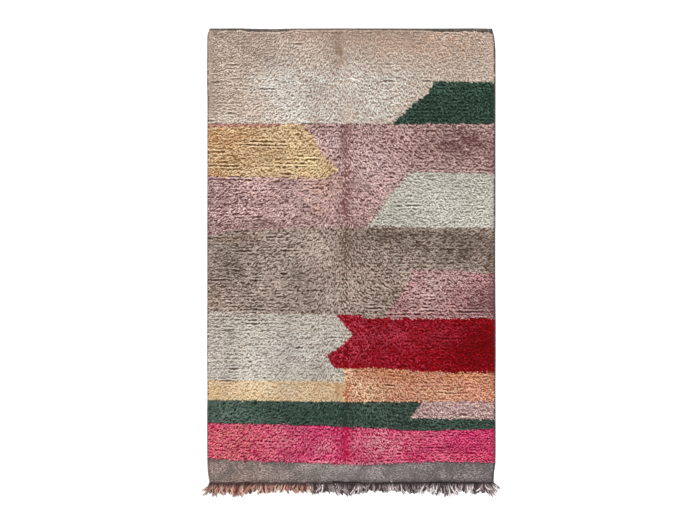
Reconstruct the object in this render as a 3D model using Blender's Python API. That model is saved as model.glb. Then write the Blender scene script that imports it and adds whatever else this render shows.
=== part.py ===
"""Azilal rug: a hand-knotted wool rug lying flat, with one flat-woven end and a warp fringe.

+X runs across the rug, +Y towards its plain top end and +Z up, the pile side. The origin is the
middle of the whole outline, fringe included, on the floor. All lengths are in metres.
"""

from collections import namedtuple
from math import pi, sin

import bmesh
import bpy
import numpy as np

# The woven cloth. A distance "down" is measured from the top edge towards the fringe.
WIDTH = 1.50
WOVEN_LENGTH = 2.367
WEB_THICKNESS = 0.004
PILE_THICKNESS = 0.018
PILE_AT_SELVEDGE = 0.010
PILE_STARTS = 0.012
PILE_ENDS = 2.262
PILE_SLOPE = 0.016
PILE_UNEVENNESS = 0.0008

# How far each side is drawn in from the full width, at each distance down.
Edge = namedtuple("Edge", "down left_inset right_inset")
EDGES = (
    Edge(0.000, 0.014, 0.018),
    Edge(0.035, 0.002, 0.010),
    Edge(0.110, 0.001, 0.003),
    Edge(0.250, 0.000, 0.000),
    Edge(0.700, 0.002, 0.001),
    Edge(1.200, 0.000, 0.002),
    Edge(1.700, 0.002, 0.000),
    Edge(PILE_ENDS, 0.001, 0.000),
    Edge(2.310, 0.007, 0.008),
    Edge(WOVEN_LENGTH, 0.016, 0.010),
)

# The soft lengthwise crease where the rug was folded in half.
Crease = namedtuple("Crease", "down middle depth half_width")
CREASE = (
    Crease(0.00, -0.030, 0.003, 0.020),
    Crease(0.55, -0.022, 0.004, 0.022),
    Crease(0.85, -0.028, 0.006, 0.026),
    Crease(1.40, -0.030, 0.004, 0.022),
    Crease(2.00, -0.026, 0.006, 0.024),
    Crease(WOVEN_LENGTH, -0.028, 0.005, 0.022),
)

# Where the pile surface is sampled: steps in from each side, steps out from the crease.
SIDE_STEPS = (0.0, 0.005, 0.014, 0.030, 0.060)
CREASE_STEPS = (0.0, 0.010, 0.020, 0.035, 0.060)
FIELD_COLUMNS = 5
END_STEPS = (0.0, 0.005, 0.011, PILE_SLOPE, 0.035)
FIELD_ROWS = 34
GAP = 0.0005

# The overcast sides: the outermost warps bound round with yarn into a cord.
SELVEDGE_DIAMETER = 0.009
SELVEDGE_SIDES = 2
SELVEDGE_STEP = 0.06
SELVEDGE_END_GAP = 0.002

# The fringe: warp ends knotted off in small bunches, as one comb.
TEETH = 74
TOOTH_ROOT = 0.012
TOOTH_TIP = 0.005
TOOTH_LENGTH = 0.056
TOOTH_LENGTH_SWING = 0.008
TOOTH_SWAY = 0.003
FRINGE_THICKNESS = 0.005
FRINGE_HEADING = 0.009
FRINGE_HALF_SPREAD = 0.785

# The first bunches at each corner fan outwards.
Corner = namedtuple("Corner", "sway length")
CORNER_TEETH = (
    Corner(None, 0.026),
    Corner(0.034, 0.050),
    Corner(0.020, 0.058),
    Corner(0.010, 0.060),
    Corner(0.004, 0.057),
)


def clear_scene():
    for obj in list(bpy.data.objects):
        bpy.data.objects.remove(obj)


def rug_collection():
    rug = bpy.data.collections.new("azilal_rug")
    bpy.context.scene.collection.children.link(rug)
    return rug


def wool(name, colour, roughness):
    material = bpy.data.materials.new(name)
    material.use_nodes = True
    shader = material.node_tree.nodes["Principled BSDF"]
    shader.inputs["Base Color"].default_value = (*colour, 1.0)
    shader.inputs["Roughness"].default_value = roughness
    shader.inputs["Metallic"].default_value = 0.0
    return material


def add_object(collection, name, data, material):
    obj = bpy.data.objects.new(name, data)
    obj.data.materials.append(material)
    collection.objects.link(obj)
    return obj


def read_table(table, column, down):
    return float(np.interp(down, [row.down for row in table], [getattr(row, column) for row in table]))


def side_x(side, down):
    """The outer line of the left (-1) or right (+1) side."""
    column = "left_inset" if side < 0 else "right_inset"
    return side * (WIDTH / 2 - read_table(EDGES, column, down))


def tooth_length(index):
    """How far each bunch hangs below the heading."""
    from_corner = min(index, TEETH - 1 - index)
    if from_corner < len(CORNER_TEETH):
        return CORNER_TEETH[from_corner].length
    return TOOTH_LENGTH + TOOTH_LENGTH_SWING * sin(2.3 * index) * sin(0.37 * index)


LONGEST_TOOTH = max(tooth_length(index) for index in range(TEETH))
TOP_Y = (WOVEN_LENGTH + GAP + FRINGE_HEADING + LONGEST_TOOTH) / 2


def spread(start, end, count):
    """The places between start and end, both left out."""
    return list(np.linspace(start, end, count + 2)[1:-1])


def column_places(down):
    """The x of each column of the pile surface, from the left side to the right."""
    inset = SELVEDGE_DIAMETER + GAP
    left = side_x(-1, down) + inset
    right = side_x(1, down) - inset
    crease = read_table(CREASE, "middle", down)
    from_left = [left + step for step in SIDE_STEPS]
    to_right = [right - step for step in reversed(SIDE_STEPS)]
    across = sorted({-step for step in CREASE_STEPS} | set(CREASE_STEPS))
    round_crease = [crease + step for step in across]
    left_field = spread(from_left[-1], round_crease[0], FIELD_COLUMNS)
    right_field = spread(round_crease[-1], to_right[0], FIELD_COLUMNS)
    return from_left + left_field + round_crease + right_field + to_right


def row_places():
    """The distance down of each row of the pile surface."""
    top = [PILE_STARTS + step for step in END_STEPS]
    bottom = [PILE_ENDS - step for step in reversed(END_STEPS)]
    turns = [edge.down for edge in EDGES if not PILE_STARTS < edge.down < top[-1]]
    return sorted(set(top + spread(top[-1], bottom[0], FIELD_ROWS) + bottom + turns))


def rounded_rise(distance, run):
    """0 at the foot and 1 past the run, with a round shoulder."""
    share = min(max(distance / run, 0.0), 1.0)
    return sin(share * pi / 2)


def surface_height(x, down):
    """The top of the cloth: the bare web at the two ends and the pile between them."""
    from_ends = min(down - PILE_STARTS, PILE_ENDS - down)
    if from_ends <= 0:
        return WEB_THICKNESS
    from_sides = min(x - side_x(-1, down), side_x(1, down) - x)
    full = PILE_AT_SELVEDGE + (PILE_THICKNESS - PILE_AT_SELVEDGE) * rounded_rise(from_sides, 0.05)
    off_crease = (x - read_table(CREASE, "middle", down)) / read_table(CREASE, "half_width", down)
    trough = read_table(CREASE, "depth", down) * np.exp(-(off_crease**2))
    ripple = PILE_UNEVENNESS * (sin(9.0 * x + 5.0 * down) + sin(13.0 * down - 6.0 * x))
    return WEB_THICKNESS + (full - trough + ripple - WEB_THICKNESS) * rounded_rise(from_ends, PILE_SLOPE)


def woven_rug(collection, material):
    """One closed sheet: a grid shaped as the pile's surface, extruded down to a flat underside."""
    rows = row_places()
    columns = len(column_places(0.0))
    surface = bmesh.new()
    bmesh.ops.create_grid(
        surface, x_segments=columns - 1, y_segments=len(rows) - 1, size=1.0
    )
    for vertex in surface.verts:
        column = round((vertex.co.x + 1) / 2 * (columns - 1))
        row = round((1 - vertex.co.y) / 2 * (len(rows) - 1))
        down = rows[row]
        x = column_places(down)[column]
        vertex.co = (x, TOP_Y - down, surface_height(x, down))
    under = bmesh.ops.extrude_face_region(surface, geom=surface.faces[:])["geom"]
    for vertex in (part for part in under if isinstance(part, bmesh.types.BMVert)):
        vertex.co.z = 0.0
    bmesh.ops.recalc_face_normals(surface, faces=surface.faces[:])
    mesh = bpy.data.meshes.new("woven_rug")
    surface.to_mesh(mesh)
    surface.free()
    mesh.shade_smooth()
    mesh.set_sharp_from_angle(angle=pi / 4)
    return add_object(collection, "woven_rug", mesh, material)


def selvedge(collection, name, side, material):
    """A cord along one side, straight on the floor."""
    radius = SELVEDGE_DIAMETER / 2
    upper_end = SELVEDGE_END_GAP
    lower_end = WOVEN_LENGTH - SELVEDGE_END_GAP
    count = round(lower_end / SELVEDGE_STEP)
    turns = {edge.down for edge in EDGES if upper_end < edge.down < lower_end}
    downs = sorted(set(np.linspace(upper_end, lower_end, count)) | turns)
    path = bpy.data.curves.new(name, "CURVE")
    path.dimensions = "3D"
    path.bevel_depth = radius
    path.bevel_resolution = SELVEDGE_SIDES
    path.use_fill_caps = True
    spline = path.splines.new("POLY")
    spline.points.add(len(downs) - 1)
    for point, down in zip(spline.points, downs):
        point.co = (side_x(side, down) - side * radius, TOP_Y - down, radius, 1.0)
    return add_object(collection, name, path, material)


def tooth_outline(index, left_end, right_end, heading_y):
    """One bunch of the fringe, from its right root round its tip to its left root."""
    pitch = (right_end - left_end) / TEETH
    root_x = left_end + pitch * (index + 0.5)
    from_corner = min(index, TEETH - 1 - index)
    outward = -1 if index < TEETH / 2 else 1
    if from_corner == 0:
        tip_x = outward * (FRINGE_HALF_SPREAD - TOOTH_TIP / 2)
    elif from_corner < len(CORNER_TEETH):
        tip_x = root_x + outward * CORNER_TEETH[from_corner].sway
    else:
        tip_x = root_x + TOOTH_SWAY * (sin(1.7 * index) + sin(0.45 * index))
    length = tooth_length(index)
    middle_x = root_x + 0.4 * (tip_x - root_x)
    middle_half = (TOOTH_ROOT + TOOTH_TIP) / 4
    return [
        (root_x + TOOTH_ROOT / 2, heading_y),
        (middle_x + middle_half, heading_y - length / 2),
        (tip_x + TOOTH_TIP / 2, heading_y - length),
        (tip_x - TOOTH_TIP / 2, heading_y - length),
        (middle_x - middle_half, heading_y - length / 2),
        (root_x - TOOTH_ROOT / 2, heading_y),
    ]


def fringe(collection, material):
    """The heading of knots along the woven end, with the bunches below it, as one flat comb."""
    left_end = side_x(-1, WOVEN_LENGTH)
    right_end = side_x(1, WOVEN_LENGTH)
    top_y = TOP_Y - WOVEN_LENGTH - GAP
    heading_y = top_y - FRINGE_HEADING
    outline = [(left_end, heading_y), (left_end, top_y), (right_end, top_y), (right_end, heading_y)]
    for index in reversed(range(TEETH)):
        outline += tooth_outline(index, left_end, right_end, heading_y)
    shape = bpy.data.curves.new("fringe", "CURVE")
    shape.dimensions = "2D"
    shape.fill_mode = "BOTH"
    shape.extrude = FRINGE_THICKNESS / 2
    spline = shape.splines.new("POLY")
    spline.points.add(len(outline) - 1)
    for point, (x, y) in zip(spline.points, outline):
        point.co = (x, y, 0.0, 1.0)
    spline.use_cyclic_u = True
    comb = add_object(collection, "fringe", shape, material)
    comb.location.z = FRINGE_THICKNESS / 2
    return comb


clear_scene()
rug = rug_collection()
woven_rug(rug, wool("rug_wool", (0.36, 0.25, 0.20), 0.95))
selvedge_wool = wool("selvedge_wool", (0.12, 0.11, 0.11), 0.95)
selvedge(rug, "selvedge_left", -1, selvedge_wool)
selvedge(rug, "selvedge_right", 1, selvedge_wool)
fringe(rug, wool("fringe_wool", (0.28, 0.21, 0.17), 0.9))
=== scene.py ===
"""Azilal rug, for looks: the ground cloth, every field of knotted wool, the bound sides and the fringe.

The frame is the CAD model's: +X across the rug, +Y towards its plain top end, +Z up. All lengths
are in metres. "Down" is the distance from the top edge towards the fringe.
"""

from collections import namedtuple
from math import pi, radians

import bpy
import numpy as np
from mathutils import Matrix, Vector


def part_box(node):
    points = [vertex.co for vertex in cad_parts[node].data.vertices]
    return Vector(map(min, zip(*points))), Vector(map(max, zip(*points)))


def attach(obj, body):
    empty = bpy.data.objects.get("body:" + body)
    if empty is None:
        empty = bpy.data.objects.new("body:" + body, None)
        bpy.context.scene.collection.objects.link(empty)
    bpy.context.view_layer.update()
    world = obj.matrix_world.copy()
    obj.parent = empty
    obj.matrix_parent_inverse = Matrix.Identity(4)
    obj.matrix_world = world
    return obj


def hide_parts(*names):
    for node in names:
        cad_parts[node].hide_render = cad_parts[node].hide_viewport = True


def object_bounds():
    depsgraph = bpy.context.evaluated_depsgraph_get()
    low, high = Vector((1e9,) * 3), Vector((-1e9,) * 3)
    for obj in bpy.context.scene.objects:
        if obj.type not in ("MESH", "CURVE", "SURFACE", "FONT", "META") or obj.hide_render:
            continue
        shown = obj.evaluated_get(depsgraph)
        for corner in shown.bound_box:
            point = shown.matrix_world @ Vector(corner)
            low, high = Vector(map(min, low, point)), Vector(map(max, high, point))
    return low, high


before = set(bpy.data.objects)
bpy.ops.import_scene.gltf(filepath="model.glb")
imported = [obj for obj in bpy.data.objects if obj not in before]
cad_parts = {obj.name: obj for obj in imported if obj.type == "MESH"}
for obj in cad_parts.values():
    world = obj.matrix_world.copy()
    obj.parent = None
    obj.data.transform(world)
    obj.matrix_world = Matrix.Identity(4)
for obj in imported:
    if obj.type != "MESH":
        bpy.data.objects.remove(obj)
cad_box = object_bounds()

# ---- The room
# The rug lies flat on a plain pale floor and is looked at from straight above. A broad lamp beyond
# its top end rakes across the pile, and the pale room fills in the rest.

CAMERA_HEIGHT = 8.0
CAMERA_AIM = (-0.005, 0.020)
CAMERA_SEES_TO = 200.0
WIDTH_IN_VIEW = 3.646
FLOOR_HALF = 30.0
FLOOR_COLOUR = (240, 240, 240)
ROOM_BRIGHTNESS = 0.98
LAMP_BRIGHTNESS = 2.45
LAMP_SPREAD = 24.0
LAMP_ELEVATION = 52.0
LAMP_TURN = 30.0
SHINE = 0.12

scene = bpy.context.scene
scene.view_settings.view_transform = "Standard"

camera_data = bpy.data.cameras.new("camera")
camera_data.lens = camera_data.sensor_width * CAMERA_HEIGHT / WIDTH_IN_VIEW
camera_data.clip_end = CAMERA_SEES_TO
camera = bpy.data.objects.new("camera", camera_data)
camera.location = (*CAMERA_AIM, CAMERA_HEIGHT)
scene.collection.objects.link(camera)
scene.camera = camera

lamp_data = bpy.data.lights.new("lamp", "SUN")
lamp_data.energy = LAMP_BRIGHTNESS
lamp_data.angle = radians(LAMP_SPREAD)
lamp = bpy.data.objects.new("lamp", lamp_data)
lamp.rotation_euler = (-radians(90.0 - LAMP_ELEVATION), 0.0, radians(LAMP_TURN))
lamp.location = (0.0, 3.0, 3.0)
scene.collection.objects.link(lamp)

room = bpy.data.worlds.new("room")
room.use_nodes = True
room.node_tree.nodes["Background"].inputs["Color"].default_value = (1.0, 1.0, 1.0, 1.0)
room.node_tree.nodes["Background"].inputs["Strength"].default_value = ROOM_BRIGHTNESS
scene.world = room


def srgb(red, green, blue):
    """A colour as a dyer would match it on screen, 0 to 255, made linear by the usual formula."""
    share = np.array([red, green, blue]) / 255
    linear = np.where(share <= 0.04045, share / 12.92, ((share + 0.055) / 1.055) ** 2.4)
    return (*(float(value) for value in linear), 1.0)


def new_material(name, roughness=0.9):
    """A matt material, with its node tree and its shader."""
    material = bpy.data.materials.new(name)
    material.use_nodes = True
    shader = material.node_tree.nodes["Principled BSDF"]
    shader.inputs["Roughness"].default_value = roughness
    shader.inputs["Specular IOR Level"].default_value = SHINE
    return material, material.node_tree, shader


floor_mesh = bpy.data.meshes.new("floor")
floor_corners = [(FLOOR_HALF * x, FLOOR_HALF * y, 0.0) for x, y in ((-1, -1), (1, -1), (1, 1), (-1, 1))]
floor_mesh.from_pydata(floor_corners, [], [(0, 1, 2, 3)])
floor = bpy.data.objects.new("floor", floor_mesh)
scene.collection.objects.link(floor)
floor_paint, _, floor_shader = new_material("floor_paint")
floor_shader.inputs["Base Color"].default_value = srgb(*FLOOR_COLOUR)
floor_mesh.materials.append(floor_paint)

# ---- Ground cloth
# Grey and brown wool wefts beaten down over hidden warps. It shows bare as a narrow web at the
# top edge and as the flat-woven end above the fringe; between them it carries the knots, whose
# loops show on the underside in the colours of the pile.

WIDTH = 1.50
WOVEN_LENGTH = 2.367
WEB_THICKNESS = 0.004
BED_THICKNESS = 0.0100
COLUMN_STEP = 0.015
FLAT_WOVEN_LINES = 20
WEB_RIPPLE, RIPPLE_SIZE = 0.0003, 0.03
CREASE_IN_CLOTH = 0.3
CREASE_WANDER, WANDER_LENGTH = 0.007, 0.06
MAP_SPAN = 3.2
RIM_ON_MAP = 0.004
UNDYED_LOOPS = (0.2, 0.18, 0.16, 1.0)
TOP_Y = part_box("woven_rug")[1][1]


def table_of(columns, *rows):
    """A table of measures, whose columns are read by their names."""
    row_of = namedtuple("Row", columns)
    return [row_of(*measures) for measures in rows]


# How far each side is drawn in from the full width.
EDGES = table_of(
    "down left_inset right_inset",
    (0.000, 0.014, 0.016), (0.035, 0.002, 0.006), (0.055, 0.0015, 0.003), (0.110, 0.001, -0.002),
    (0.300, 0.001, -0.0025), (0.360, 0.0025, -0.0025), (0.700, 0.0025, -0.002),
    (1.030, 0.002, -0.002), (1.060, 0.002, -0.001), (1.220, 0.002, -0.001), (1.420, 0.002, -0.002),
    (1.550, 0.0015, -0.0035), (1.730, 0.0015, -0.0035), (1.850, 0.0025, -0.002),
    (1.930, 0.0025, -0.002), (2.000, 0.0012, -0.0025), (2.200, 0.0015, -0.003),
    (2.262, 0.002, -0.002), (2.310, 0.004, 0.005), (WOVEN_LENGTH, 0.013, 0.008),
)

# Where the rows of knots run. The weaver's rows are not quite level, so each is given at five
# places across the rug.
ROW_X = (-0.75, -0.30, 0.00, 0.40, 0.75)
KNOT_ROWS = table_of(
    "number far_left left middle right far_right",
    (0, 0.006, 0.007, 0.007, 0.007, 0.008), (15, 0.282, 0.280, 0.277, 0.275, 0.282),
    (27, 0.497, 0.497, 0.497, 0.497, 0.498), (28, 0.514, 0.515, 0.515, 0.515, 0.515),
    (42, 0.766, 0.776, 0.782, 0.768, 0.776), (58, 1.058, 1.050, 1.046, 1.041, 1.040),
    (70, 1.262, 1.258, 1.258, 1.258, 1.258), (83, 1.476, 1.487, 1.490, 1.489, 1.492),
    (84, 1.494, 1.505, 1.507, 1.504, 1.509), (99, 1.770, 1.770, 1.768, 1.773, 1.780),
    (103, 1.833, 1.833, 1.836, 1.846, 1.852), (109, 1.937, 1.942, 1.945, 1.943, 1.947),
    (113, 2.004, 2.011, 2.018, 2.028, 2.035), (116, 2.052, 2.062, 2.075, 2.096, 2.083),
    (127, 2.237, 2.259, 2.270, 2.253, 2.259),
)
ROWS = KNOT_ROWS[-1].number

# The bare web at the top edge: its outer line, and how far down the pile starts.
TOP_WEB = table_of(
    "x inset pile_from",
    (-0.75, 0.000, 0.012), (-0.58, -0.001, 0.0105), (-0.53, 0.001, 0.019), (-0.42, 0.003, 0.021),
    (-0.35, 0.001, 0.017), (-0.29, 0.000, 0.009), (0.00, -0.001, 0.0085), (0.38, 0.000, 0.010),
    (0.47, 0.000, 0.020), (0.65, -0.001, 0.018), (0.70, 0.000, 0.026), (0.75, 0.001, 0.030),
)

# The soft lengthwise crease where the rug was folded in half.
CREASE = table_of(
    "down middle depth half_width",
    (0.00, -0.030, 0.003, 0.020), (0.55, -0.022, 0.005, 0.022), (0.85, -0.028, 0.007, 0.026),
    (1.40, -0.030, 0.004, 0.022), (2.00, -0.026, 0.008, 0.024),
    (WOVEN_LENGTH, -0.028, 0.005, 0.022),
)


def read_table(table, column, place, by="down"):
    """A column's value at a place, read between the table's rows."""
    return np.interp(place, [getattr(row, by) for row in table], [getattr(row, column) for row in table])


def side_x(side, down):
    """The outer line of the left (-1) or right (+1) side."""
    column = "left_inset" if side < 0 else "right_inset"
    return side * (WIDTH / 2 - read_table(EDGES, column, down))


def row_down(number, x):
    """How far down a row of knots runs at x."""
    across = [read_table(KNOT_ROWS, column, number, "number") for column in KNOT_ROWS[0]._fields[1:]]
    down = across[0]
    for place in range(len(ROW_X) - 1):
        share = np.clip((x - ROW_X[place]) / (ROW_X[place + 1] - ROW_X[place]), 0, 1)
        down = down + share * (across[place + 1] - across[place])
    return down


def drift(x, y, cell, seed):
    """Soft unevenness between -1 and 1, with lumps about one cell across."""
    across_lattice, up_lattice, start = 97, 89, 1000.0
    lattice = np.random.default_rng(seed).uniform(-1, 1, (across_lattice, up_lattice))
    column, row = np.asarray(x) / cell + start, np.asarray(y) / cell + start
    left, below = np.floor(column).astype(int), np.floor(row).astype(int)
    across, up = column - left, row - below
    across, up = across * across * (3 - 2 * across), up * up * (3 - 2 * up)

    def corner(i, j):
        return lattice[(left + i) % across_lattice, (below + j) % up_lattice]

    lower = corner(0, 0) * (1 - across) + corner(1, 0) * across
    upper = corner(0, 1) * (1 - across) + corner(1, 1) * across
    return lower * (1 - up) + upper * up


def crease_depth(x, down):
    """How deep the crease is at a place."""
    wander = CREASE_WANDER * drift(0 * down, down, WANDER_LENGTH, 46)
    off = (x - read_table(CREASE, "middle", down) - wander) / read_table(CREASE, "half_width", down)
    return read_table(CREASE, "depth", down) * np.exp(-(off**2))


def build_mesh(name, points, faces_by_size):
    """A mesh from an array of points and arrays of faces, one array for each number of corners."""
    mesh = bpy.data.meshes.new(name)
    corners = np.concatenate([faces.ravel() for faces in faces_by_size])
    sizes = np.concatenate([np.full(len(faces), faces.shape[1]) for faces in faces_by_size])
    mesh.vertices.add(len(points))
    mesh.vertices.foreach_set("co", np.asarray(points, dtype=np.float32).ravel())
    mesh.loops.add(len(corners))
    mesh.loops.foreach_set("vertex_index", corners.astype(np.int32))
    mesh.polygons.add(len(sizes))
    mesh.polygons.foreach_set("loop_start", (np.cumsum(sizes) - sizes).astype(np.int32))
    mesh.polygons.foreach_set("use_smooth", np.full(len(sizes), True))
    mesh.update(calc_edges=True)
    mesh.validate()
    return mesh


def add_map(mesh, corner_places):
    """Lays the faces out flat on a map of their own, one place for each corner of each face."""
    layer = mesh.uv_layers.new(name="OFBake")
    layer.uv.foreach_set("vector", np.asarray(corner_places, dtype=np.float32).ravel())


def add_values(mesh, name, values):
    """Gives each point of a mesh a value that its material reads."""
    layer = mesh.attributes.new(name, "FLOAT", "POINT")
    layer.data.foreach_set("value", np.asarray(values, dtype=np.float32).ravel())


def add_piece(name, mesh, materials):
    """Puts a mesh on the rug as a piece of its own."""
    for material in materials:
        mesh.materials.append(material)
    piece = bpy.data.objects.new(name, mesh)
    scene.collection.objects.link(piece)
    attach(piece, "root")
    return piece


def cloth_downs(x):
    """Where the cloth is shaped down its length, at x: along each row, and down both bare ends."""
    inset = read_table(TOP_WEB, "inset", x, "x")
    rows = row_down(np.arange(ROWS + 1), x)
    rows[0] = read_table(TOP_WEB, "pile_from", x, "x")
    web = np.array([inset, (inset + rows[0]) / 2])
    weave = np.linspace(rows[-1], WOVEN_LENGTH, FLAT_WOVEN_LINES)[1:]
    return np.concatenate([web, rows, weave])


columns = np.linspace(0.0, 1.0, round(WIDTH / COLUMN_STEP) + 1)
downs = np.array([cloth_downs((share - 0.5) * WIDTH) for share in columns]).T
left_x, right_x = side_x(-1, downs), side_x(1, downs)
grid_x = left_x + (right_x - left_x) * columns
line_count, column_count = downs.shape
first_bed_line, last_bed_line = 2, 2 + ROWS
bed = np.zeros_like(downs)
bed[first_bed_line + 1 : last_bed_line] = 1.0
bed[:, :1] = bed[:, -1:] = 0.0
padding = BED_THICKNESS - WEB_THICKNESS - CREASE_IN_CLOTH * crease_depth(grid_x, downs)
top_z = WEB_THICKNESS + bed * padding
top_z += WEB_RIPPLE * drift(grid_x, downs, RIPPLE_SIZE, 3) * (1 - bed)
layers = [np.stack([grid_x, TOP_Y - downs, z], axis=-1) for z in (top_z, np.zeros_like(top_z))]
grid_points = np.concatenate(layers).reshape(-1, 3)
number = np.arange(line_count * column_count).reshape(line_count, column_count)
upper = np.stack([number[:-1, :-1], number[1:, :-1], number[1:, 1:], number[:-1, 1:]], axis=-1)
upper = upper.reshape(-1, 4)
lower = upper[:, ::-1] + number.size
rim = np.concatenate([number[:, 0], number[-1, 1:], number[::-1, -1][1:], number[0, ::-1][1:-1]])
rim_next = np.roll(rim, -1)
wall = np.stack([rim, rim + number.size, rim_next + number.size, rim_next], axis=-1)
cloth_faces = np.concatenate([upper, lower, wall])
cloth_mesh = build_mesh("ground_cloth", grid_points, [cloth_faces])

# The map of the cloth: the upper side in the left half, the underside in the right half.
map_scale = 1 / MAP_SPAN
flat = grid_points[:, :2] * map_scale + (0.25, 0.5)
map_lower = flat[lower] + (0.5, 0.0)
outward = np.sign(grid_points[wall][..., :2]) * (RIM_ON_MAP * map_scale)
map_wall = flat[wall] + outward * np.array([0, 1, 1, 0])[None, :, None]
add_map(cloth_mesh, np.concatenate([flat[upper], map_lower, map_wall]))

BARE_WEB, KNOT_BED, BACK, TOP_EDGE = range(4)
face_middle = grid_points[cloth_faces].mean(axis=1)
cloth_face_x, cloth_face_down = face_middle[:, 0], TOP_Y - face_middle[:, 1]
upper_line = np.repeat(np.arange(line_count - 1), column_count - 1)
carries_knots = (upper_line >= first_bed_line) & (upper_line < last_bed_line)
bare_kind = np.where(upper_line < first_bed_line, TOP_EDGE, BARE_WEB)
upper_kind, lower_kind = [np.where(carries_knots, kind, bare_kind) for kind in (KNOT_BED, BACK)]
face_kind = np.concatenate([upper_kind, lower_kind, np.full(len(wall), BARE_WEB)])
cloth_mesh.polygons.foreach_set("material_index", face_kind.astype(np.int32))
knot_colours = np.tile(np.array(UNDYED_LOOPS), (len(face_kind), 1))
loops_dyed = np.zeros(len(face_kind), dtype=bool)


def node(tree, kind, **settings):
    """Adds a node and sets its properties."""
    made = tree.nodes.new(kind)
    for key, value in settings.items():
        setattr(made, key, value)
    return made


def feed(tree, sockets, values):
    """Gives each socket its value, or a link where the value is another node's socket."""
    for socket, value in zip(sockets, values):
        if isinstance(value, bpy.types.NodeSocket):
            tree.links.new(value, socket)
        else:
            socket.default_value = value


def mix(tree, factor, first, second, blend="MIX"):
    """Mixes two colours. Each argument is a socket or a plain value."""
    made = node(tree, "ShaderNodeMix", data_type="RGBA", blend_type=blend)
    feed(tree, (made.inputs[0], made.inputs[6], made.inputs[7]), (factor, first, second))
    return made.outputs[2]


def reckon(tree, operation, *values):
    """Sums, differences, products and the like of two values."""
    made = node(tree, "ShaderNodeMath", operation=operation)
    feed(tree, made.inputs, values)
    return made.outputs[0]


def noise(tree, scale, detail=2.0, stretch=(1.0, 1.0, 1.0)):
    """Cloudy unevenness, with lumps 1/scale across, drawn out along the axes that stretch makes small."""
    place = node(tree, "ShaderNodeTexCoord")
    mapping = node(tree, "ShaderNodeMapping")
    mapping.inputs["Scale"].default_value = stretch
    tree.links.new(place.outputs["Object"], mapping.inputs["Vector"])
    made = node(tree, "ShaderNodeTexNoise")
    made.inputs["Scale"].default_value = scale
    made.inputs["Detail"].default_value = detail
    tree.links.new(mapping.outputs["Vector"], made.inputs["Vector"])
    return made.outputs["Fac"]


def steepen(tree, value, low, high, to_low=0.0, to_high=1.0):
    """Stretches the part of a value's range from low to high over the range from to_low to to_high."""
    made = node(tree, "ShaderNodeMapRange", clamp=True)
    sockets = [made.inputs[socket] for socket in ("Value", "From Min", "From Max", "To Min", "To Max")]
    feed(tree, sockets, (value, low, high, to_low, to_high))
    return made.outputs["Result"]


def own_value(tree, name, output="Fac"):
    """A value or colour that the mesh carries."""
    return node(tree, "ShaderNodeAttribute", attribute_name=name).outputs[output]


def place_on_rug(tree):
    """Where a point is on the rug: X, Y and Z."""
    place = node(tree, "ShaderNodeSeparateXYZ")
    tree.links.new(node(tree, "ShaderNodeTexCoord").outputs["Object"], place.inputs["Vector"])
    return place.outputs


def new_group(name, colours, amounts=()):
    """A node group that makes a colour and a height out of the named colours and amounts."""
    group = bpy.data.node_groups.new(name, "ShaderNodeTree")
    sockets = [(colour, "INPUT", "NodeSocketColor") for colour in colours]
    sockets += [(amount, "INPUT", "NodeSocketFloat") for amount in amounts]
    sockets += [("Color", "OUTPUT", "NodeSocketColor"), ("Height", "OUTPUT", "NodeSocketFloat")]
    for socket, way, kind in sockets:
        group.interface.new_socket(socket, in_out=way, socket_type=kind)
    return group, group.nodes.new("NodeGroupInput").outputs, group.nodes.new("NodeGroupOutput").inputs


def place_group(tree, group, **values):
    """Puts a node group in a tree, with its inputs set by name."""
    made = node(tree, "ShaderNodeGroup", node_tree=group)
    for key, value in values.items():
        made.inputs[key].default_value = value
    return made.outputs


def finish_shader(tree, shader, colour, height, distance):
    """Gives a shader its colour, and a fine relief where height varies."""
    made = node(tree, "ShaderNodeBump")
    made.inputs["Distance"].default_value = distance
    tree.links.new(colour, shader.inputs["Base Color"])
    tree.links.new(height, made.inputs["Height"])
    tree.links.new(made.outputs["Normal"], shader.inputs["Normal"])


# Weft-faced plain weave: wefts of heathered yarn lie side by side over the warps' ribs, with painted
# shade in the grooves between them. The yarn turns from brown at the left to dark grey at the right,
# and the last wefts are darker, more so towards the right.
SHADE_BETWEEN_WEFTS = (0.030, 0.026, 0.026, 1)
DARK_CLOUD = (0.06, 0.055, 0.05, 1)
DARKER_END = (0.035, 0.026, 0.025, 1)
WEB_YARNS = ("Left yarn", "Middle yarn", "Right yarn", "Fleck")
flat_weave, given, result = new_group("flat_weave", WEB_YARNS)
tree = flat_weave
weft = noise(tree, scale=230.0, detail=3.0, stretch=(0.40, 1.0, 1.0))
heather = noise(tree, scale=150.0, detail=3.0)
cloud = noise(tree, scale=12.0, detail=3.0)
x_here, y_here, _ = place_on_rug(tree)
base = mix(tree, steepen(tree, x_here, -0.50, -0.10), given["Left yarn"], given["Middle yarn"])
base = mix(tree, steepen(tree, x_here, 0.05, 0.40), base, given["Right yarn"])
base = mix(tree, steepen(tree, heather, 0.46, 0.70, to_high=0.70), base, given["Fleck"])
# Painted shade in the grooves between the wefts.
base = mix(tree, steepen(tree, weft, 0.42, 0.60, to_high=0.82), base, SHADE_BETWEEN_WEFTS)
base = mix(tree, steepen(tree, cloud, 0.42, 0.60, to_high=0.56), base, DARK_CLOUD)
# The last wefts above the fringe are darker, more so towards the right.
darker_end = steepen(tree, y_here, -1.118, -1.148)
darker_end = reckon(tree, "MULTIPLY", darker_end, steepen(tree, x_here, -0.55, -0.05, 0.35, 0.75))
base = mix(tree, darker_end, base, DARKER_END)
tree.links.new(base, result["Color"])
tree.links.new(weft, result["Height"])


def woven_wool(name, *colours):
    """A flat-woven wool, from the colours of its left, middle and right yarns and of its flecks."""
    made, tree, shader = new_material(name)
    yarns = {yarn: srgb(*colour) for yarn, colour in zip(WEB_YARNS, colours)}
    woven = place_group(tree, flat_weave, **yarns)
    finish_shader(tree, shader, woven["Color"], woven["Height"], distance=0.0012)
    return made


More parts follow.
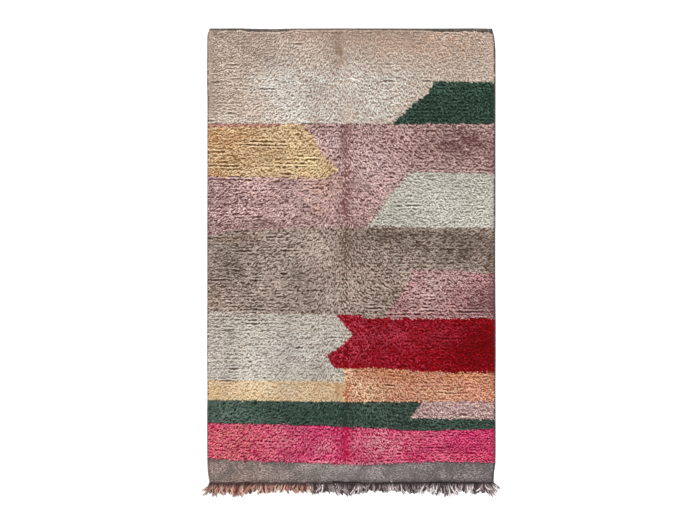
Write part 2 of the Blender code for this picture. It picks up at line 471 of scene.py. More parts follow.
BARE_COLOURS = ((136, 113, 105), (140, 129, 127), (110, 101, 103), (192, 179, 172))
TOP_COLOURS = ((88, 78, 72), (110, 99, 91), (58, 53, 50), (176, 162, 148))
bare_web = woven_wool("flat_woven_wool", *BARE_COLOURS)
top_web = woven_wool("top_web_wool", *TOP_COLOURS)

# The foot of the pile shows the knots' loops, with painted shade between the tufts over them; the
# underside shows them bare.
SHADE_BETWEEN_TUFTS = (0.42, 0.36, 0.36, 1)
GROUND_YARN = (0.30, 0.26, 0.22, 1)
knot_bed, tree, shader = new_material("foot_of_the_pile", roughness=0.95)
loops = own_value(tree, "knot_colour", "Color")
tufty = noise(tree, scale=140.0, detail=3.0, stretch=(0.6, 1.0, 1.0))
shade = mix(tree, steepen(tree, tufty, 0.40, 0.70), loops, SHADE_BETWEEN_TUFTS, "MULTIPLY")
finish_shader(tree, shader, shade, tufty, distance=0.003)

rug_back, tree, shader = new_material("rug_back")
loops = own_value(tree, "knot_colour", "Color")
grain = noise(tree, scale=210.0, stretch=(0.55, 1.0, 1.0))
shade = mix(tree, steepen(tree, grain, 0.52, 0.66, to_high=0.8), loops, GROUND_YARN)
finish_shader(tree, shader, shade, grain, distance=0.0015)

ground_cloth = add_piece("ground_cloth", cloth_mesh, [bare_web, knot_bed, rug_back, top_web])
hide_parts("woven_rug")

# ---- The knots
# Every knot ties a tuft of thick wool yarn on to the warps, and the tufts are left long, so each
# one rises from its row and falls over on the next. Which way they fall changes over the rug.

KNOT_SPACING = 0.0058
ENDS_APART = 0.0028
KNOT_STRAY = 0.0022
FIRST_KNOT, LAST_KNOT = 0.007, 0.010
TUFT_WIDTH, FINE_TUFT = (0.0044, 0.0074), (0.0037, 0.0064)
TUFT_DEPTH = 0.0032
SHORTEST_TUFT, LONGEST_TUFT = 0.007, 0.032
SINKING = 0.0050
PILE_HEIGHT = 0.0165
PILE_HEIGHT_AT_SIDE, SIDE_SLOPE = 0.0095, 0.05
LOWEST_TUFT = 0.0003
WOOL_ROUGHNESS, FUZZ = 0.92, 0.0008

# The way the pile lies: degrees from straight down the rug, positive towards the right side.
ACROSS_X = (-0.70, -0.45, -0.20, -0.03, 0.15, 0.42, 0.70)
ACROSS = "down far_left left inner_left crease inner_right right far_right"
FARTHEST_LIE = 115
LIE = table_of(
    ACROSS,
    (0.05, -72, -55, -20, 10, 25, 40, 55), (0.25, -84, -66, -30, 20, 30, 45, 55),
    (0.45, -84, -68, -45, 15, 35, 50, 60), (0.62, -84, -84, -74, 20, 60, 78, 80),
    (0.90, -76, -74, -65, 25, 65, 80, 84), (1.15, -72, -70, -60, 20, 60, 98, 102),
    (1.35, -76, -68, -50, 30, 55, 72, 75), (1.60, -82, -74, -60, 0, 60, 70, 65),
    (1.85, -74, -58, -40, 5, 45, 60, 70), (2.00, -60, -56, -40, 5, 35, 60, 70),
    (2.20, -74, -60, -35, 0, 50, 80, 84),
)
# How plainly the rows of knots show as lines across the pile, 0 to 1; elsewhere it clots into locks.
ROW_LINES = table_of(
    ACROSS,
    (0.05, 0.4, 0.3, 0.2, 0.3, 0.2, 0.3, 0.4), (0.25, 0.7, 0.5, 0.2, 0.3, 0.2, 0.3, 0.4),
    (0.45, 0.7, 0.5, 0.2, 0.3, 0.2, 0.5, 0.5), (0.62, 0.9, 0.9, 0.8, 0.3, 0.5, 0.9, 0.9),
    (0.90, 0.7, 0.6, 0.5, 0.3, 0.5, 0.9, 0.8), (1.15, 0.6, 0.6, 0.5, 0.3, 0.5, 0.8, 0.8),
    (1.35, 0.8, 0.6, 0.5, 0.3, 0.4, 0.5, 0.5), (1.60, 0.8, 0.8, 0.7, 0.2, 0.2, 0.3, 0.3),
    (1.85, 0.5, 0.5, 0.4, 0.3, 0.3, 0.4, 0.4), (2.00, 0.4, 0.4, 0.3, 0.3, 0.3, 0.4, 0.5),
    (2.20, 0.2, 0.2, 0.2, 0.2, 0.4, 0.7, 0.8),
)
# How far a tuft reaches from its foot: the pile has been flattened at the left and stands up more
# from the middle to the right. Places are x, then metres.
REACH = ((-0.75, 0.0175), (-0.45, 0.0165), (-0.25, 0.014), (0.10, 0.0125), (0.75, 0.0135))
UPRIGHT_REACH, FLAT_REACH = 0.010, 0.019

# Where the rows part and show the foot of the pile between them, with painted shade in the gap.
PARTINGS = table_of(
    "left right upper lower strength",
    (-0.75, -0.45, 0.12, 0.49, 0.26), (-0.75, -0.66, 0.15, 0.49, 0.46),
    (-0.56, -0.48, 0.197, 0.219, 0.90), (-0.75, -0.68, 0.220, 0.242, 0.90),
    (-0.62, -0.40, 0.306, 0.328, 1.00), (-0.72, -0.53, 0.387, 0.409, 0.90),
    (-0.75, -0.20, 0.53, 0.76, 0.18), (-0.58, -0.44, 0.588, 0.610, 0.95),
    (-0.53, -0.35, 0.600, 0.624, 1.05), (-0.28, -0.17, 0.655, 0.678, 0.80),
    (-0.75, -0.66, 0.660, 0.684, 0.70), (-0.40, -0.17, 0.700, 0.724, 0.90),
    (-0.75, -0.59, 0.706, 0.728, 1.20), (-0.70, -0.55, 0.757, 0.780, 0.90),
    (-0.75, -0.30, 0.95, 1.46, 0.20), (-0.75, -0.62, 1.297, 1.319, 1.00),
    (-0.52, -0.42, 1.294, 1.316, 0.90), (-0.58, -0.50, 1.372, 1.394, 0.90),
    (-0.42, -0.32, 1.449, 1.471, 1.10), (-0.52, -0.44, 1.457, 1.479, 1.10),
    (-0.01, 0.06, 1.273, 1.295, 1.10), (-0.69, -0.62, 1.497, 1.519, 1.00),
    (-0.62, -0.49, 1.507, 1.530, 1.20), (-0.55, -0.42, 1.517, 1.540, 1.10),
    (-0.72, -0.20, 1.52, 1.58, 0.36), (-0.75, -0.40, 1.58, 1.83, 0.30),
    (-0.48, -0.40, 1.804, 1.826, 1.00), (-0.69, -0.59, 1.820, 1.842, 1.20),
    (0.25, 0.75, 1.44, 1.50, 0.52), (0.10, 0.40, 1.44, 1.47, 0.62), (0.20, 0.75, 0.78, 1.03, 0.17),
    (0.25, 0.75, 2.15, 2.24, 0.42), (-0.70, -0.15, 2.12, 2.24, 0.18),
)
PARTED_AT_LEAST = 0.14
# The tufts at an open parting lie along it, in degrees, and are drawn out to this reach.
PARTED_LIE, PARTED_LIE_SPREAD, PARTED_REACH, PARTED_SHARE = 80, 10, 0.018, 0.7

# Layers of soft unevenness, each with its amount, the size of its lumps and its seed.
PARTING_CHANCE = ((0.38, 0.10, 21), (0.28, 0.035, 22))
LIE_WANDER = ((16, 0.11, 31), (6, 0.045, 32), (26, 0.020, 33))
TUFTS_OFF_ROW = ((0.003, 0.16, 34), (0.002, 0.05, 35))
DASHES = ((1.0, 0.028, 72), (0.6, 0.010, 73))
# Rows are this far apart in the unevenness of partings and dashes, so that no two are alike.
NEXT_ROW = 7.0


def uneven(x, down, layers, value=0.0):
    """Adds layers of soft unevenness to a value."""
    for amount, cell, seed in layers:
        value = value + amount * drift(x, down, cell, seed)
    return value


def read_across(table, x, down):
    """A table's value at each knot, read between its places."""
    values = np.array([row[1:] for row in table], dtype=float)
    along = np.interp(down, [row.down for row in table], np.arange(len(table)))
    across = np.interp(x, ACROSS_X, np.arange(len(ACROSS_X)))
    line = np.minimum(along.astype(int), len(table) - 2)
    column = np.minimum(across.astype(int), len(ACROSS_X) - 2)
    lower_share, right_share = along - line, across - column
    upper = values[line, column] * (1 - right_share) + values[line, column + 1] * right_share
    lower = values[line + 1, column] * (1 - right_share) + values[line + 1, column + 1] * right_share
    return upper * (1 - lower_share) + lower * lower_share


def parting(row, x, down):
    """How far the pile has parted at the foot of a row: 0 closed, 1 open."""
    fade_across, fade_down, sharpness = 0.05, 0.02, 4
    strength = np.full(len(x), PARTED_AT_LEAST)
    for place in PARTINGS:
        inside = np.clip(np.minimum(x - place.left, place.right - x) / fade_across + 0.5, 0, 1)
        inside *= np.clip(np.minimum(down - place.upper, place.lower - down) / fade_down + 0.5, 0, 1)
        strength = np.maximum(strength, place.strength * inside)
    chance = uneven(x, row * NEXT_ROW, PARTING_CHANCE, 0.5)
    return np.clip((strength - chance) * sharpness, 0, 1)


def combed(x, down, angle, along, across, seed):
    """Unevenness drawn out along the way the pile lies: read from fields that run eight set ways."""
    ways = 8
    turn = angle / 180 * ways
    value, weights = 0.0, 0.0
    for way in range(ways):
        heading = pi * way / ways
        run = (x * np.sin(heading) + down * np.cos(heading)) / along
        side = (x * np.cos(heading) - down * np.sin(heading)) / across
        weight = np.clip(1 - np.abs((turn - way + ways / 2) % ways - ways / 2), 0, 1)
        value = value + weight * drift(run, side, 1.0, seed + way)
        weights = weights + weight**2
    return value / np.sqrt(weights)


luck = np.random.default_rng(11)
knots_in_row = round((WIDTH - FIRST_KNOT - LAST_KNOT) / KNOT_SPACING)
# Both ends of a knot's yarn stand up as tufts, so every knot is counted twice.
knot_row = np.repeat(np.arange(ROWS), 2 * knots_in_row)
tufts = len(knot_row)
row_middle = row_down(knot_row + 0.5, 0.0)
first_x, last_x = side_x(-1, row_middle) + FIRST_KNOT, side_x(1, row_middle) - LAST_KNOT
knot_x = first_x + (last_x - first_x) * np.tile(np.repeat(np.linspace(0, 1, knots_in_row), 2), ROWS)
knot_x += ENDS_APART / 2 * np.tile([-1, 1], tufts // 2) + luck.uniform(-KNOT_STRAY, KNOT_STRAY, tufts)
knot_down = row_down(knot_row + 0.5, knot_x)
row_pitch = row_down(knot_row + 1, knot_x) - row_down(knot_row, knot_x)

# The way each tuft lies, and the locks that the pile clots into along it.
LOCK_LENGTH, LOCK_WIDTH = 0.018, 0.0075
lie_x = knot_x + 0.025 * drift(knot_x, knot_down, 0.05, 45)
lie = read_across(LIE, lie_x, knot_down) + uneven(knot_x, knot_down, LIE_WANDER)
lock = combed(knot_x, knot_down, lie, LOCK_LENGTH, LOCK_WIDTH, 71)
straying = luck.normal(0, 1, tufts)
open_above = parting(knot_row, knot_x, knot_down)
open_below = parting(knot_row + 1, knot_x, knot_down)
opened = np.maximum(open_above, open_below)
lie = np.clip(lie, -FARTHEST_LIE, FARTHEST_LIE)
parted_lie = np.sign(lie) * (PARTED_LIE + PARTED_LIE_SPREAD * luck.normal(0, 1, tufts))
lie += (parted_lie - lie) * PARTED_SHARE * opened

# How far down the rug each tuft's middle lies; along a parting the tufts keep closer to their row.
OFF_ROW_SPREAD, KEPT_BY_PARTING, PUSHED_BY_PARTING = 0.34, 0.68, 0.06
off_by = luck.normal(0, OFF_ROW_SPREAD, tufts) * row_pitch
tuft_down = knot_down + off_by * (1 - KEPT_BY_PARTING * opened)
tuft_down += uneven(knot_x, knot_down, TUFTS_OFF_ROW)
tuft_down += PUSHED_BY_PARTING * row_pitch * (open_above - open_below)

# The tufts in the valleys, between two locks or between two rows, are sunk, and painted darker with the
# foot's shade the more they sink: 1 is fully sunk.
VALLEY_EDGE = 1.3
DASH_SHARPNESS, ROW_VALLEY, LOCK_VALLEY = 5, 0.15, 0.16
row_lines = read_across(ROW_LINES, knot_x, knot_down)
from_row = (tuft_down - knot_down) / row_pitch
dashes = uneven(knot_x, (knot_row + (from_row > 0)) * NEXT_ROW, DASHES)
parted_here = np.where(from_row > 0, open_below, open_above)
row_valley = (dashes + 0.7 * row_lines - 0.35 + 2 * parted_here) * DASH_SHARPNESS
row_valley = np.clip(row_valley, 0, 1 + 0.4 * parted_here)
between_rows = row_valley * (VALLEY_EDGE - np.abs(0.5 - np.abs(from_row)) / ROW_VALLEY)
between_locks = (VALLEY_EDGE - np.abs(lock) / LOCK_VALLEY) * (1 - 0.6 * row_lines)
sunk = np.maximum(between_rows, between_locks)
# In the crease the pile has clotted: some tufts are sunk far more than others, and painted darker with
# it.
CLOTS_IN_CREASE, CLOT_SIZE = 60, 0.012
sunk += CLOTS_IN_CREASE * crease_depth(knot_x, knot_down) * drift(knot_x, knot_down, CLOT_SIZE, 47)

# No tuft hangs over the bare web at the top edge, whose lower line is ragged towards the right.
RAGGED_X, RAGGED_LOWER, RAGGED_SPREAD = (0.58, 0.68), (0.0, 0.003), (0.002, 0.010)
web_down = read_table(TOP_WEB, "pile_from", knot_x, "x") + 0.003 * drift(knot_x, 0 * knot_x, 0.015, 38)
web_down += np.interp(knot_x, RAGGED_X, RAGGED_LOWER)
web_down += np.interp(knot_x, RAGGED_X, RAGGED_SPREAD) * luck.uniform(-1, 1, tufts)
reach_share = 1 + 0.15 * drift(knot_x, knot_down, 0.09, 36) + 0.18 * luck.normal(0, 1, tufts)
reach = np.interp(knot_x, *zip(*REACH)) * reach_share
reach += (PARTED_REACH - reach) * PARTED_SHARE * opened
tuft_down = np.maximum(tuft_down, web_down + 0.4 * reach * np.cos(np.radians(lie)) + 0.001)

# Knots at the edge of a colour are not quite in line, so each one looks up its colour a little off its
# place, between its foot and its tuft.
OFF_CHART_X, OFF_CHART_DOWN, TUFT_SHARE = 0.006, 0.003, 0.65
chart_x = knot_x + luck.uniform(-OFF_CHART_X, OFF_CHART_X, tufts)
chart_down = (1 - TUFT_SHARE) * knot_down + TUFT_SHARE * tuft_down
chart_down = chart_down + luck.uniform(-OFF_CHART_DOWN, OFF_CHART_DOWN, tufts)
knot_taken = np.zeros(tufts, dtype=bool)


# How wide a gap the tufts leave between the rows over the right cord. Places are down, then metres.
CORD_SHOWS = (
    (0.03, 0.007), (0.07, 0.012), (0.25, 0.012), (0.30, 0.007), (0.78, 0.007), (0.84, 0.014),
    (1.02, 0.014), (1.06, 0.0075), (1.46, 0.0075), (1.50, 0.003), (2.04, 0.003), (2.08, 0.006),
)


def cord_bare(side, down, off_row):
    """How much of a side's cord the tufts leave bare; below nothing, they reach past it."""
    ups_and_downs = 1.6
    if side < 0:
        past, widest = 0.003, 0.002
        return -past + widest * np.clip(ups_and_downs * drift(0 * down, down, 0.02, 39), 0, 1)
    past, near_row, top_end, top_share = 0.0015, 0.12, 0.22, 0.3
    between = np.clip((off_row - near_row) / near_row, 0, 1)
    between = between * np.clip(0.6 + ups_and_downs * drift(0 * down, down, 0.03, 37), 0, 1)
    near_top = np.clip((top_end - down) / 0.05, 0, top_share)
    return -past + np.interp(down, *zip(*CORD_SHOWS)) * np.maximum(between, near_top)


def inside_outline(outline, x, down):
    """Which places lie inside an outline of (x, down) corners."""
    inside = np.zeros(len(x), dtype=bool)
    for (x0, down0), (x1, down1) in zip(outline, outline[1:] + outline[:1]):
        if down0 != down1:
            crosses = (down0 > down) != (down1 > down)
            inside ^= crosses & (x < x0 + (down - down0) / (down1 - down0) * (x1 - x0))
    return inside


# The tufts are worn down over both sides, sunk lower there and painted darker with the foot's shade: how
# far they are sunk there, and how far in that reaches.
WEAR_AND_SHADE_LEFT, WEAR_AND_SHADE_RIGHT, WEAR_AND_SHADE_IN, WEAR_AND_SHADE_SPREAD = 0.45, 0.68, 0.040, 0.15
SUNK_FROM, SUNK_SPREAD, PALE_UNSUNK = 1.05, 0.40, 0.70
CREST_DRIFT, CREST_SPREAD, SPREAD_IN_CREASE = 0.0004, 0.0009, 0.25
CREST_IN_CREASE, CREST_IN_PARTING = 1.3, 0.0015


def tuft_crests(chosen, x, down, pale, valleys, chance):
    """How high the chosen tufts stand, and how far each is sunk among the others, from 0 to 1."""
    count = len(chosen)
    from_left, from_right = x - side_x(-1, down), side_x(1, down) - x
    swell = np.sin(np.clip(np.minimum(from_left, from_right) / SIDE_SLOPE, 0, 1) * pi / 2)
    creased = crease_depth(x, down)
    crest = PILE_HEIGHT_AT_SIDE + (PILE_HEIGHT - PILE_HEIGHT_AT_SIDE) * swell
    spread = chance.normal(0, 1, count) * (CREST_SPREAD + SPREAD_IN_CREASE * creased)
    crest += CREST_DRIFT * drift(x, down, 0.06, 41) + spread
    sunk_here = sunk[chosen] - SUNK_FROM + valleys + SUNK_SPREAD * chance.normal(0, 1, count)
    sunk_here = np.clip(sunk_here, 0, 1)
    sunk_here *= 1 - PALE_UNSUNK * pale
    wear_and_shade_left, wear_and_shade_right = [np.exp(-((away / WEAR_AND_SHADE_IN) ** 2)) for away in (from_left, from_right)]
    wear_and_shade = WEAR_AND_SHADE_LEFT * wear_and_shade_left + WEAR_AND_SHADE_RIGHT * wear_and_shade_right
    sunk_here = np.maximum(sunk_here, wear_and_shade + WEAR_AND_SHADE_SPREAD * chance.normal(0, 1, count) * (wear_and_shade > 0.05))
    sinking = SINKING * sunk_here * (crest / PILE_HEIGHT) ** 2
    crest -= CREST_IN_CREASE * creased + CREST_IN_PARTING * opened[chosen] + sinking
    return crest, sunk_here


# A tuft has a foot, two three-sided rings and a tip: their places along it, and how high they stand
# when it lies flat and when it stands up.
RING_SHARES = np.array([0.0, 0.30, 0.74, 1.0])
RISE_FLAT = np.array([0.0, 0.86, 1.0, 0.66])
RISE_UPRIGHT = np.array([0.0, 0.74, 0.98, 1.0])
GIRTHS = (1.0, 0.88)
TUFT_POINTS = 8
TUFT_SIDES = ((0, 1), (1, 2), (2, 0))
TUFT_CAPS = [(0, 1 + b, 1 + a) for a, b in TUFT_SIDES] + [(7, 4 + a, 4 + b) for a, b in TUFT_SIDES]
TUFT_SKINS = [(1 + a, 1 + b, 4 + b, 4 + a) for a, b in TUFT_SIDES]
BEND, LEAN = 0.12, 0.5


def tuft_points(x, down, angle, long, crest, half_width, chance):
    """The points of tufts that lie at an angle, each a bent, tapered lock of yarn."""
    count = len(x)
    along = np.stack([np.sin(angle), -np.cos(angle)], axis=-1)
    aside = np.stack([np.cos(angle), np.sin(angle)], axis=-1)
    flattened = np.clip((long - UPRIGHT_REACH) / (FLAT_REACH - UPRIGHT_REACH), 0, 1)[:, None]
    foot = np.minimum(WEB_THICKNESS + 0.002, crest - 0.003)
    bend = chance.normal(0, BEND, count) * long
    lean = chance.uniform(-LEAN, LEAN, count)
    rise = RISE_FLAT * flattened + RISE_UPRIGHT * (1 - flattened)
    middle = np.stack([x, TOP_Y - down], axis=-1)
    bow = 4 * RING_SHARES * (1 - RING_SHARES) - 0.7
    spine = middle[:, None] + along[:, None] * ((RING_SHARES - 0.5)[None, :, None] * long[:, None, None])
    spine = spine + aside[:, None] * (bow[None, :, None] * bend[:, None, None])
    spine_z = foot[:, None] + (crest - foot)[:, None] * rise
    points = np.empty((count, TUFT_POINTS, 3))
    for end, ring in ((0, 0), (TUFT_POINTS - 1, 3)):
        points[:, end, :2], points[:, end, 2] = spine[:, ring], spine_z[:, ring]
    for ring, girth in enumerate(GIRTHS, 1):
        wide = (half_width * girth)[:, None]
        tall = TUFT_DEPTH * girth
        first = 3 * ring - 2
        points[:, first, :2] = spine[:, ring] - aside * wide
        points[:, first + 1, :2] = spine[:, ring] + aside * wide
        points[:, first + 2, :2] = spine[:, ring] + aside * wide * lean[:, None]
        points[:, first, 2] = points[:, first + 1, 2] = spine_z[:, ring] - 0.4 * tall
        points[:, first + 2, 2] = spine_z[:, ring] + 0.6 * tall
    points[..., 2] = np.maximum(points[..., 2], LOWEST_TUFT)
    return points.reshape(-1, 3)


def tuft_map(count):
    """Gives each tuft a small cell of the map: its length up the cell, its three faces side by side."""
    wide, half, low, high = 0.26, 0.13, 0.30, 0.74
    per_side = int(np.ceil(np.sqrt(count)))
    cell = np.stack([np.arange(count) % per_side, np.arange(count) // per_side], axis=-1) / per_side
    lefts = np.array([0.05, 0.35, 0.65])
    caps = [((left + half, 0.04), (left + wide, low), (left, low)) for left in lefts]
    caps += [((left + half, 0.96), (left, high), (left + wide, high)) for left in lefts]
    skins = [((left, low), (left + wide, low), (left + wide, high), (left, high)) for left in lefts]
    spots = [cell[:, None, None] + np.array(places)[None] / per_side for places in (caps, skins)]
    return np.concatenate([places.reshape(-1, 2) for places in spots])


def tuft_mesh(name, chosen, masks, longer, width, stray, valleys):
    """The chosen knots' tufts, as one mesh."""
    count = len(chosen)
    chance = np.random.default_rng(len(name) * 1000 + count)
    down, x = tuft_down[chosen], knot_x[chosen]
    angle = np.radians(lie[chosen] + stray * straying[chosen] * (1 - PARTED_SHARE * opened[chosen]))
    long = np.clip(reach[chosen] * longer, SHORTEST_TUFT, LONGEST_TUFT)
    span = 0.5 * long * np.abs(np.sin(angle)) + 0.5 * width[0]
    off_row = np.abs(from_row[chosen])
    x = np.maximum(x, side_x(-1, down) + cord_bare(-1, down, off_row) + span)
    x = np.minimum(x, side_x(1, down) - cord_bare(1, down, off_row) - span)
    half_width = chance.uniform(*width, count) / 2
    crest, sunk_here = tuft_crests(chosen, x, down, masks["pale"], valleys, chance)
    points = tuft_points(x, down, angle, long, crest, half_width, chance)
    start = (np.arange(count) * TUFT_POINTS)[:, None, None]
    triangles = (start + np.array(TUFT_CAPS)[None]).reshape(-1, 3)
    quads = (start + np.array(TUFT_SKINS)[None]).reshape(-1, 4)
    mesh = build_mesh(name, points, [triangles, quads])
    add_map(mesh, tuft_map(count))
    add_values(mesh, "along", np.tile(RING_SHARES[[0, 1, 1, 1, 2, 2, 2, 3]], count))
    tone = 0.5 * chance.uniform(0, 1, count) + 0.25 * (1 + 0.3 * drift(x, down, 0.014, 42))
    for value, amounts in {"tone": tone, "sunk": sunk_here, **masks}.items():
        add_values(mesh, value, np.repeat(amounts, TUFT_POINTS))
    return mesh


def grey(tree, level):
    """A grey as light as the level, to multiply a colour by."""
    made = node(tree, "ShaderNodeCombineColor")
    feed(tree, made.inputs, (level, level, level))
    return made.outputs["Color"]


# Dyed knotting wool: its main shade, and a pale, a warm and a dark one where the hank or the wear
# differs; the dark one is also laid along the crease as painted shade. Each tuft has its own tone. The
# foot colour is painted shade deep in the pile: it darkens each tuft towards its root, the sunk tufts
# and the shaded specks; the palest wool has felted, so less of that painted shade shows.
SHADES = ("Pale", "Warm", "Dark")
wool_yarn, given, result = new_group("wool_yarn", ("Main", *SHADES, "Foot"), ("Unevenness", "Specks"))
tree = wool_yarn
colour = given["Main"]
for shade in SHADES:
    colour = mix(tree, own_value(tree, shade.lower()), colour, given[shade])
tone = own_value(tree, "tone")
cloud = reckon(tree, "SUBTRACT", noise(tree, scale=5.0), 0.5)
strand = reckon(tree, "SUBTRACT", noise(tree, scale=175.0), 0.5)
fuzz = noise(tree, scale=650.0)
level = reckon(tree, "MULTIPLY", reckon(tree, "SUBTRACT", tone, 0.5), given["Unevenness"])
level = reckon(tree, "ADD", reckon(tree, "ADD", level, 1.0), reckon(tree, "MULTIPLY", cloud, 0.5))
level = reckon(tree, "ADD", level, reckon(tree, "MULTIPLY", strand, 1.6))
level = reckon(tree, "MULTIPLY", level, steepen(tree, fuzz, 0.3, 0.7, 0.88, 1.06))
colour = mix(tree, 1.0, colour, grey(tree, level), "MULTIPLY")
# Painted shade deep in the pile: towards the root, on the shaded specks and on sunk tufts.
painted_shade = steepen(tree, own_value(tree, "along"), 0.0, 0.62, 1.0, 0.0)
shaded_speck = reckon(tree, "MULTIPLY", steepen(tree, tone, 0.27, 0.22), given["Specks"])
painted_shade = reckon(tree, "MAXIMUM", painted_shade, shaded_speck)
painted_shade = reckon(tree, "MAXIMUM", painted_shade, own_value(tree, "sunk"))
felted = steepen(tree, own_value(tree, "pale"), 0.0, 1.0, 1.0, 0.52)
painted_shade = reckon(tree, "MULTIPLY", painted_shade, felted)
colour = mix(tree, painted_shade, colour, mix(tree, 1.0, colour, given["Foot"], "MULTIPLY"))
tree.links.new(colour, result["Color"])
tree.links.new(fuzz, result["Height"])

MASK_SEEDS = {"pale": 51, "warm": 52, "dark": 53}


def shade_masks(x, down, patches, unevenness):
    """How pale, warm and dark each tuft is: a little everywhere, and more in the patches, each of which
    has the place of its middle, its reach across and down, and its strength."""
    masks = {}
    for mask, seed in MASK_SEEDS.items():
        clouds = drift(x, down, 0.16, seed) + 0.15 * drift(x, down, 0.03, seed + 9)
        amount = 0.30 * np.clip(clouds, 0, 1)
        broken = 1 + 0.7 * drift(x, down, 0.018, seed + 20)
        for middle_x, middle_down, reach_x, reach_down, strength in patches[mask]:
            far = ((x - middle_x) / reach_x) ** 2 + ((down - middle_down) / reach_down) ** 2
            amount = amount + strength * np.exp(-far) * broken
        masks[mask] = np.clip(amount + 0.16 * unevenness * luck.normal(0, 1, len(x)), 0, 1)
    return masks


def tie(
    name, outline, main, pale, warm, dark, foot, pale_at=(), warm_at=(), dark_at=(),
    unevenness=0.8, shaded_specks=0.3, longer=1.0, width=TUFT_WIDTH, stray=20, valleys=1.0,
):
    """Ties the free knots inside an outline in one dyed wool, and tints their loops on the cloth.

    The outline is a list of (x, down) corners. The wool's shades are main, pale, warm and dark, the
    last three also in patches, and foot is the painted shade at the root and on the cloth under the
    tufts. Unevenness varies the tone from tuft to tuft, and the shaded specks paint some tufts all
    over with the foot's shade, as dark holes. Longer, width and stray are the tufts' length beside
    the usual one, their range of widths and their scatter in degrees, and valleys is how readily the
    pile sinks between its locks, which also paints the sunk tufts with the foot's shade.
    """
    chosen = np.flatnonzero(inside_outline(outline, chart_x, chart_down) & ~knot_taken)
    knot_taken[chosen] = True
    patches = {"pale": pale_at, "warm": warm_at, "dark": dark_at}
    masks = shade_masks(knot_x[chosen], knot_down[chosen], patches, unevenness)
    wool, tree, shader = new_material(f"{name}_wool", WOOL_ROUGHNESS)
    shades = {"Main": main, "Pale": pale, "Warm": warm, "Dark": dark}
    yarn = place_group(
        tree,
        wool_yarn,
        **{shade: srgb(*colour) for shade, colour in shades.items()},
        Foot=(*foot, 1.0),
        Unevenness=unevenness,
        Specks=shaded_specks,
    )
    finish_shader(tree, shader, yarn["Color"], yarn["Height"], FUZZ)
    mesh = tuft_mesh(f"pile_{name}", chosen, masks, longer, width, stray, valleys)
    piece = add_piece(f"pile_{name}", mesh, [wool])
    here = inside_outline(outline, cloth_face_x, cloth_face_down) & ~loops_dyed
    loops_dyed[here] = True
    knot_colours[here, :3] = srgb(*main)[:3]
    # Under the pile the loops also take the wool's foot colour: painted shade under the tufts.
    knot_colours[here & (face_kind == KNOT_BED), :3] *= 0.9 * np.array(foot)


# ---- Upper green block
# Dark bottle-green wool, let into the beige at the right with a slanting left end.
tie(
    "green_block",
    [
        (0.437, 0.274), (0.80, 0.281), (0.80, 0.498), (0.213, 0.498), (0.276, 0.442),
        (0.327, 0.391), (0.393, 0.350),
    ],
    main=(71, 97, 82), pale=(124, 150, 134), warm=(52, 84, 64), dark=(30, 56, 46),
    foot=(0.24, 0.27, 0.26),
    unevenness=1.5, stray=16,
)

# ---- Beige field
# Undyed sheep's wool, cream white in the middle, pinkish at the left and peach towards the top right.
tie(
    "beige",
    [(-0.80, 0.0), (0.80, 0.0), (0.80, 0.498), (-0.80, 0.498)],
    main=(231, 217, 203), pale=(244, 244, 239), warm=(228, 198, 178), dark=(166, 138, 120),
    foot=(0.56, 0.50, 0.46),
    pale_at=[
        (-0.27, 0.35, 0.22, 0.17, 1.00), (-0.05, 0.38, 0.13, 0.13, 1.00),
        (-0.22, 0.43, 0.20, 0.07, 0.50), (0.13, 0.34, 0.21, 0.16, 1.00),
    ],
    warm_at=[
        (0.45, 0.08, 0.30, 0.09, 0.85), (-0.20, 0.06, 0.45, 0.05, 0.20),
        (-0.55, 0.40, 0.20, 0.08, 0.30),
    ],
    dark_at=[
        (0.00, 0.01, 1.20, 0.03, 0.30), (-0.60, 0.10, 0.22, 0.12, 0.28),
        (-0.73, 0.22, 0.05, 0.15, 0.40), (-0.74, 0.38, 0.03, 0.09, 0.45),
        # The last dark patch is painted shade along the crease.
        (-0.06, 0.14, 0.045, 0.09, 0.75),
    ],
    unevenness=0.55, shaded_specks=0.8, stray=26, valleys=0.52, width=FINE_TUFT,
)

# ---- Red-brown row
# One row of brick-coloured wool between the beige and the ochre, left of the middle.
tie(
    "brick_row",
    [(-0.80, 0.499), (-0.37, 0.499), (-0.37, 0.512), (-0.80, 0.512)],
    main=(206, 160, 144), pale=(228, 182, 166), warm=(204, 144, 120), dark=(160, 96, 84),
    foot=(0.5, 0.4, 0.36),
    valleys=0.80,
)

# ---- Ochre block
# Golden ochre wool with a slanting right end; a few of its rows have parted in long lines, dark with
# painted shade.
tie(
    "ochre",
    [
        (-0.80, 0.51), (-0.37, 0.51), (-0.37, 0.500), (-0.255, 0.500), (-0.18, 0.583),
        (-0.15, 0.654), (-0.09, 0.715), (-0.062, 0.740), (-0.14, 0.786), (-0.80, 0.769),
    ],
    main=(240, 218, 182), pale=(243, 229, 187), warm=(226, 184, 142), dark=(198, 152, 106),
    foot=(0.40, 0.27, 0.16),
    pale_at=[(-0.20, 0.71, 0.18, 0.06, 0.80), (-0.35, 0.60, 0.12, 0.06, 0.30)],
    warm_at=[
        (-0.66, 0.56, 0.16, 0.06, 0.80), (-0.72, 0.755, 0.12, 0.02, 0.80),
        (-0.45, 0.64, 0.14, 0.03, 0.45),
    ],
    dark_at=[(-0.55, 0.69, 0.18, 0.03, 0.50)],
    unevenness=0.6, shaded_specks=0.7, stray=21, valleys=0.90,
)

# ---- Right white block
# Natural off-white wool, slanting in from the right under the dusty pink.
tie(
    "white_block",
    [
        (0.298, 0.746), (0.80, 0.761), (0.80, 1.040), (0.36, 1.035), (0.08, 1.032), (0.10, 1.014),
        (0.13, 0.973), (0.17, 0.917), (0.21, 0.857), (0.266, 0.806),
    ],
    main=(233, 232, 223), pale=(244, 244, 238), warm=(230, 222, 204), dark=(180, 176, 160),
    foot=(0.44, 0.40, 0.36),
    unevenness=0.55, shaded_specks=0.8, valleys=0.52, width=FINE_TUFT,
)
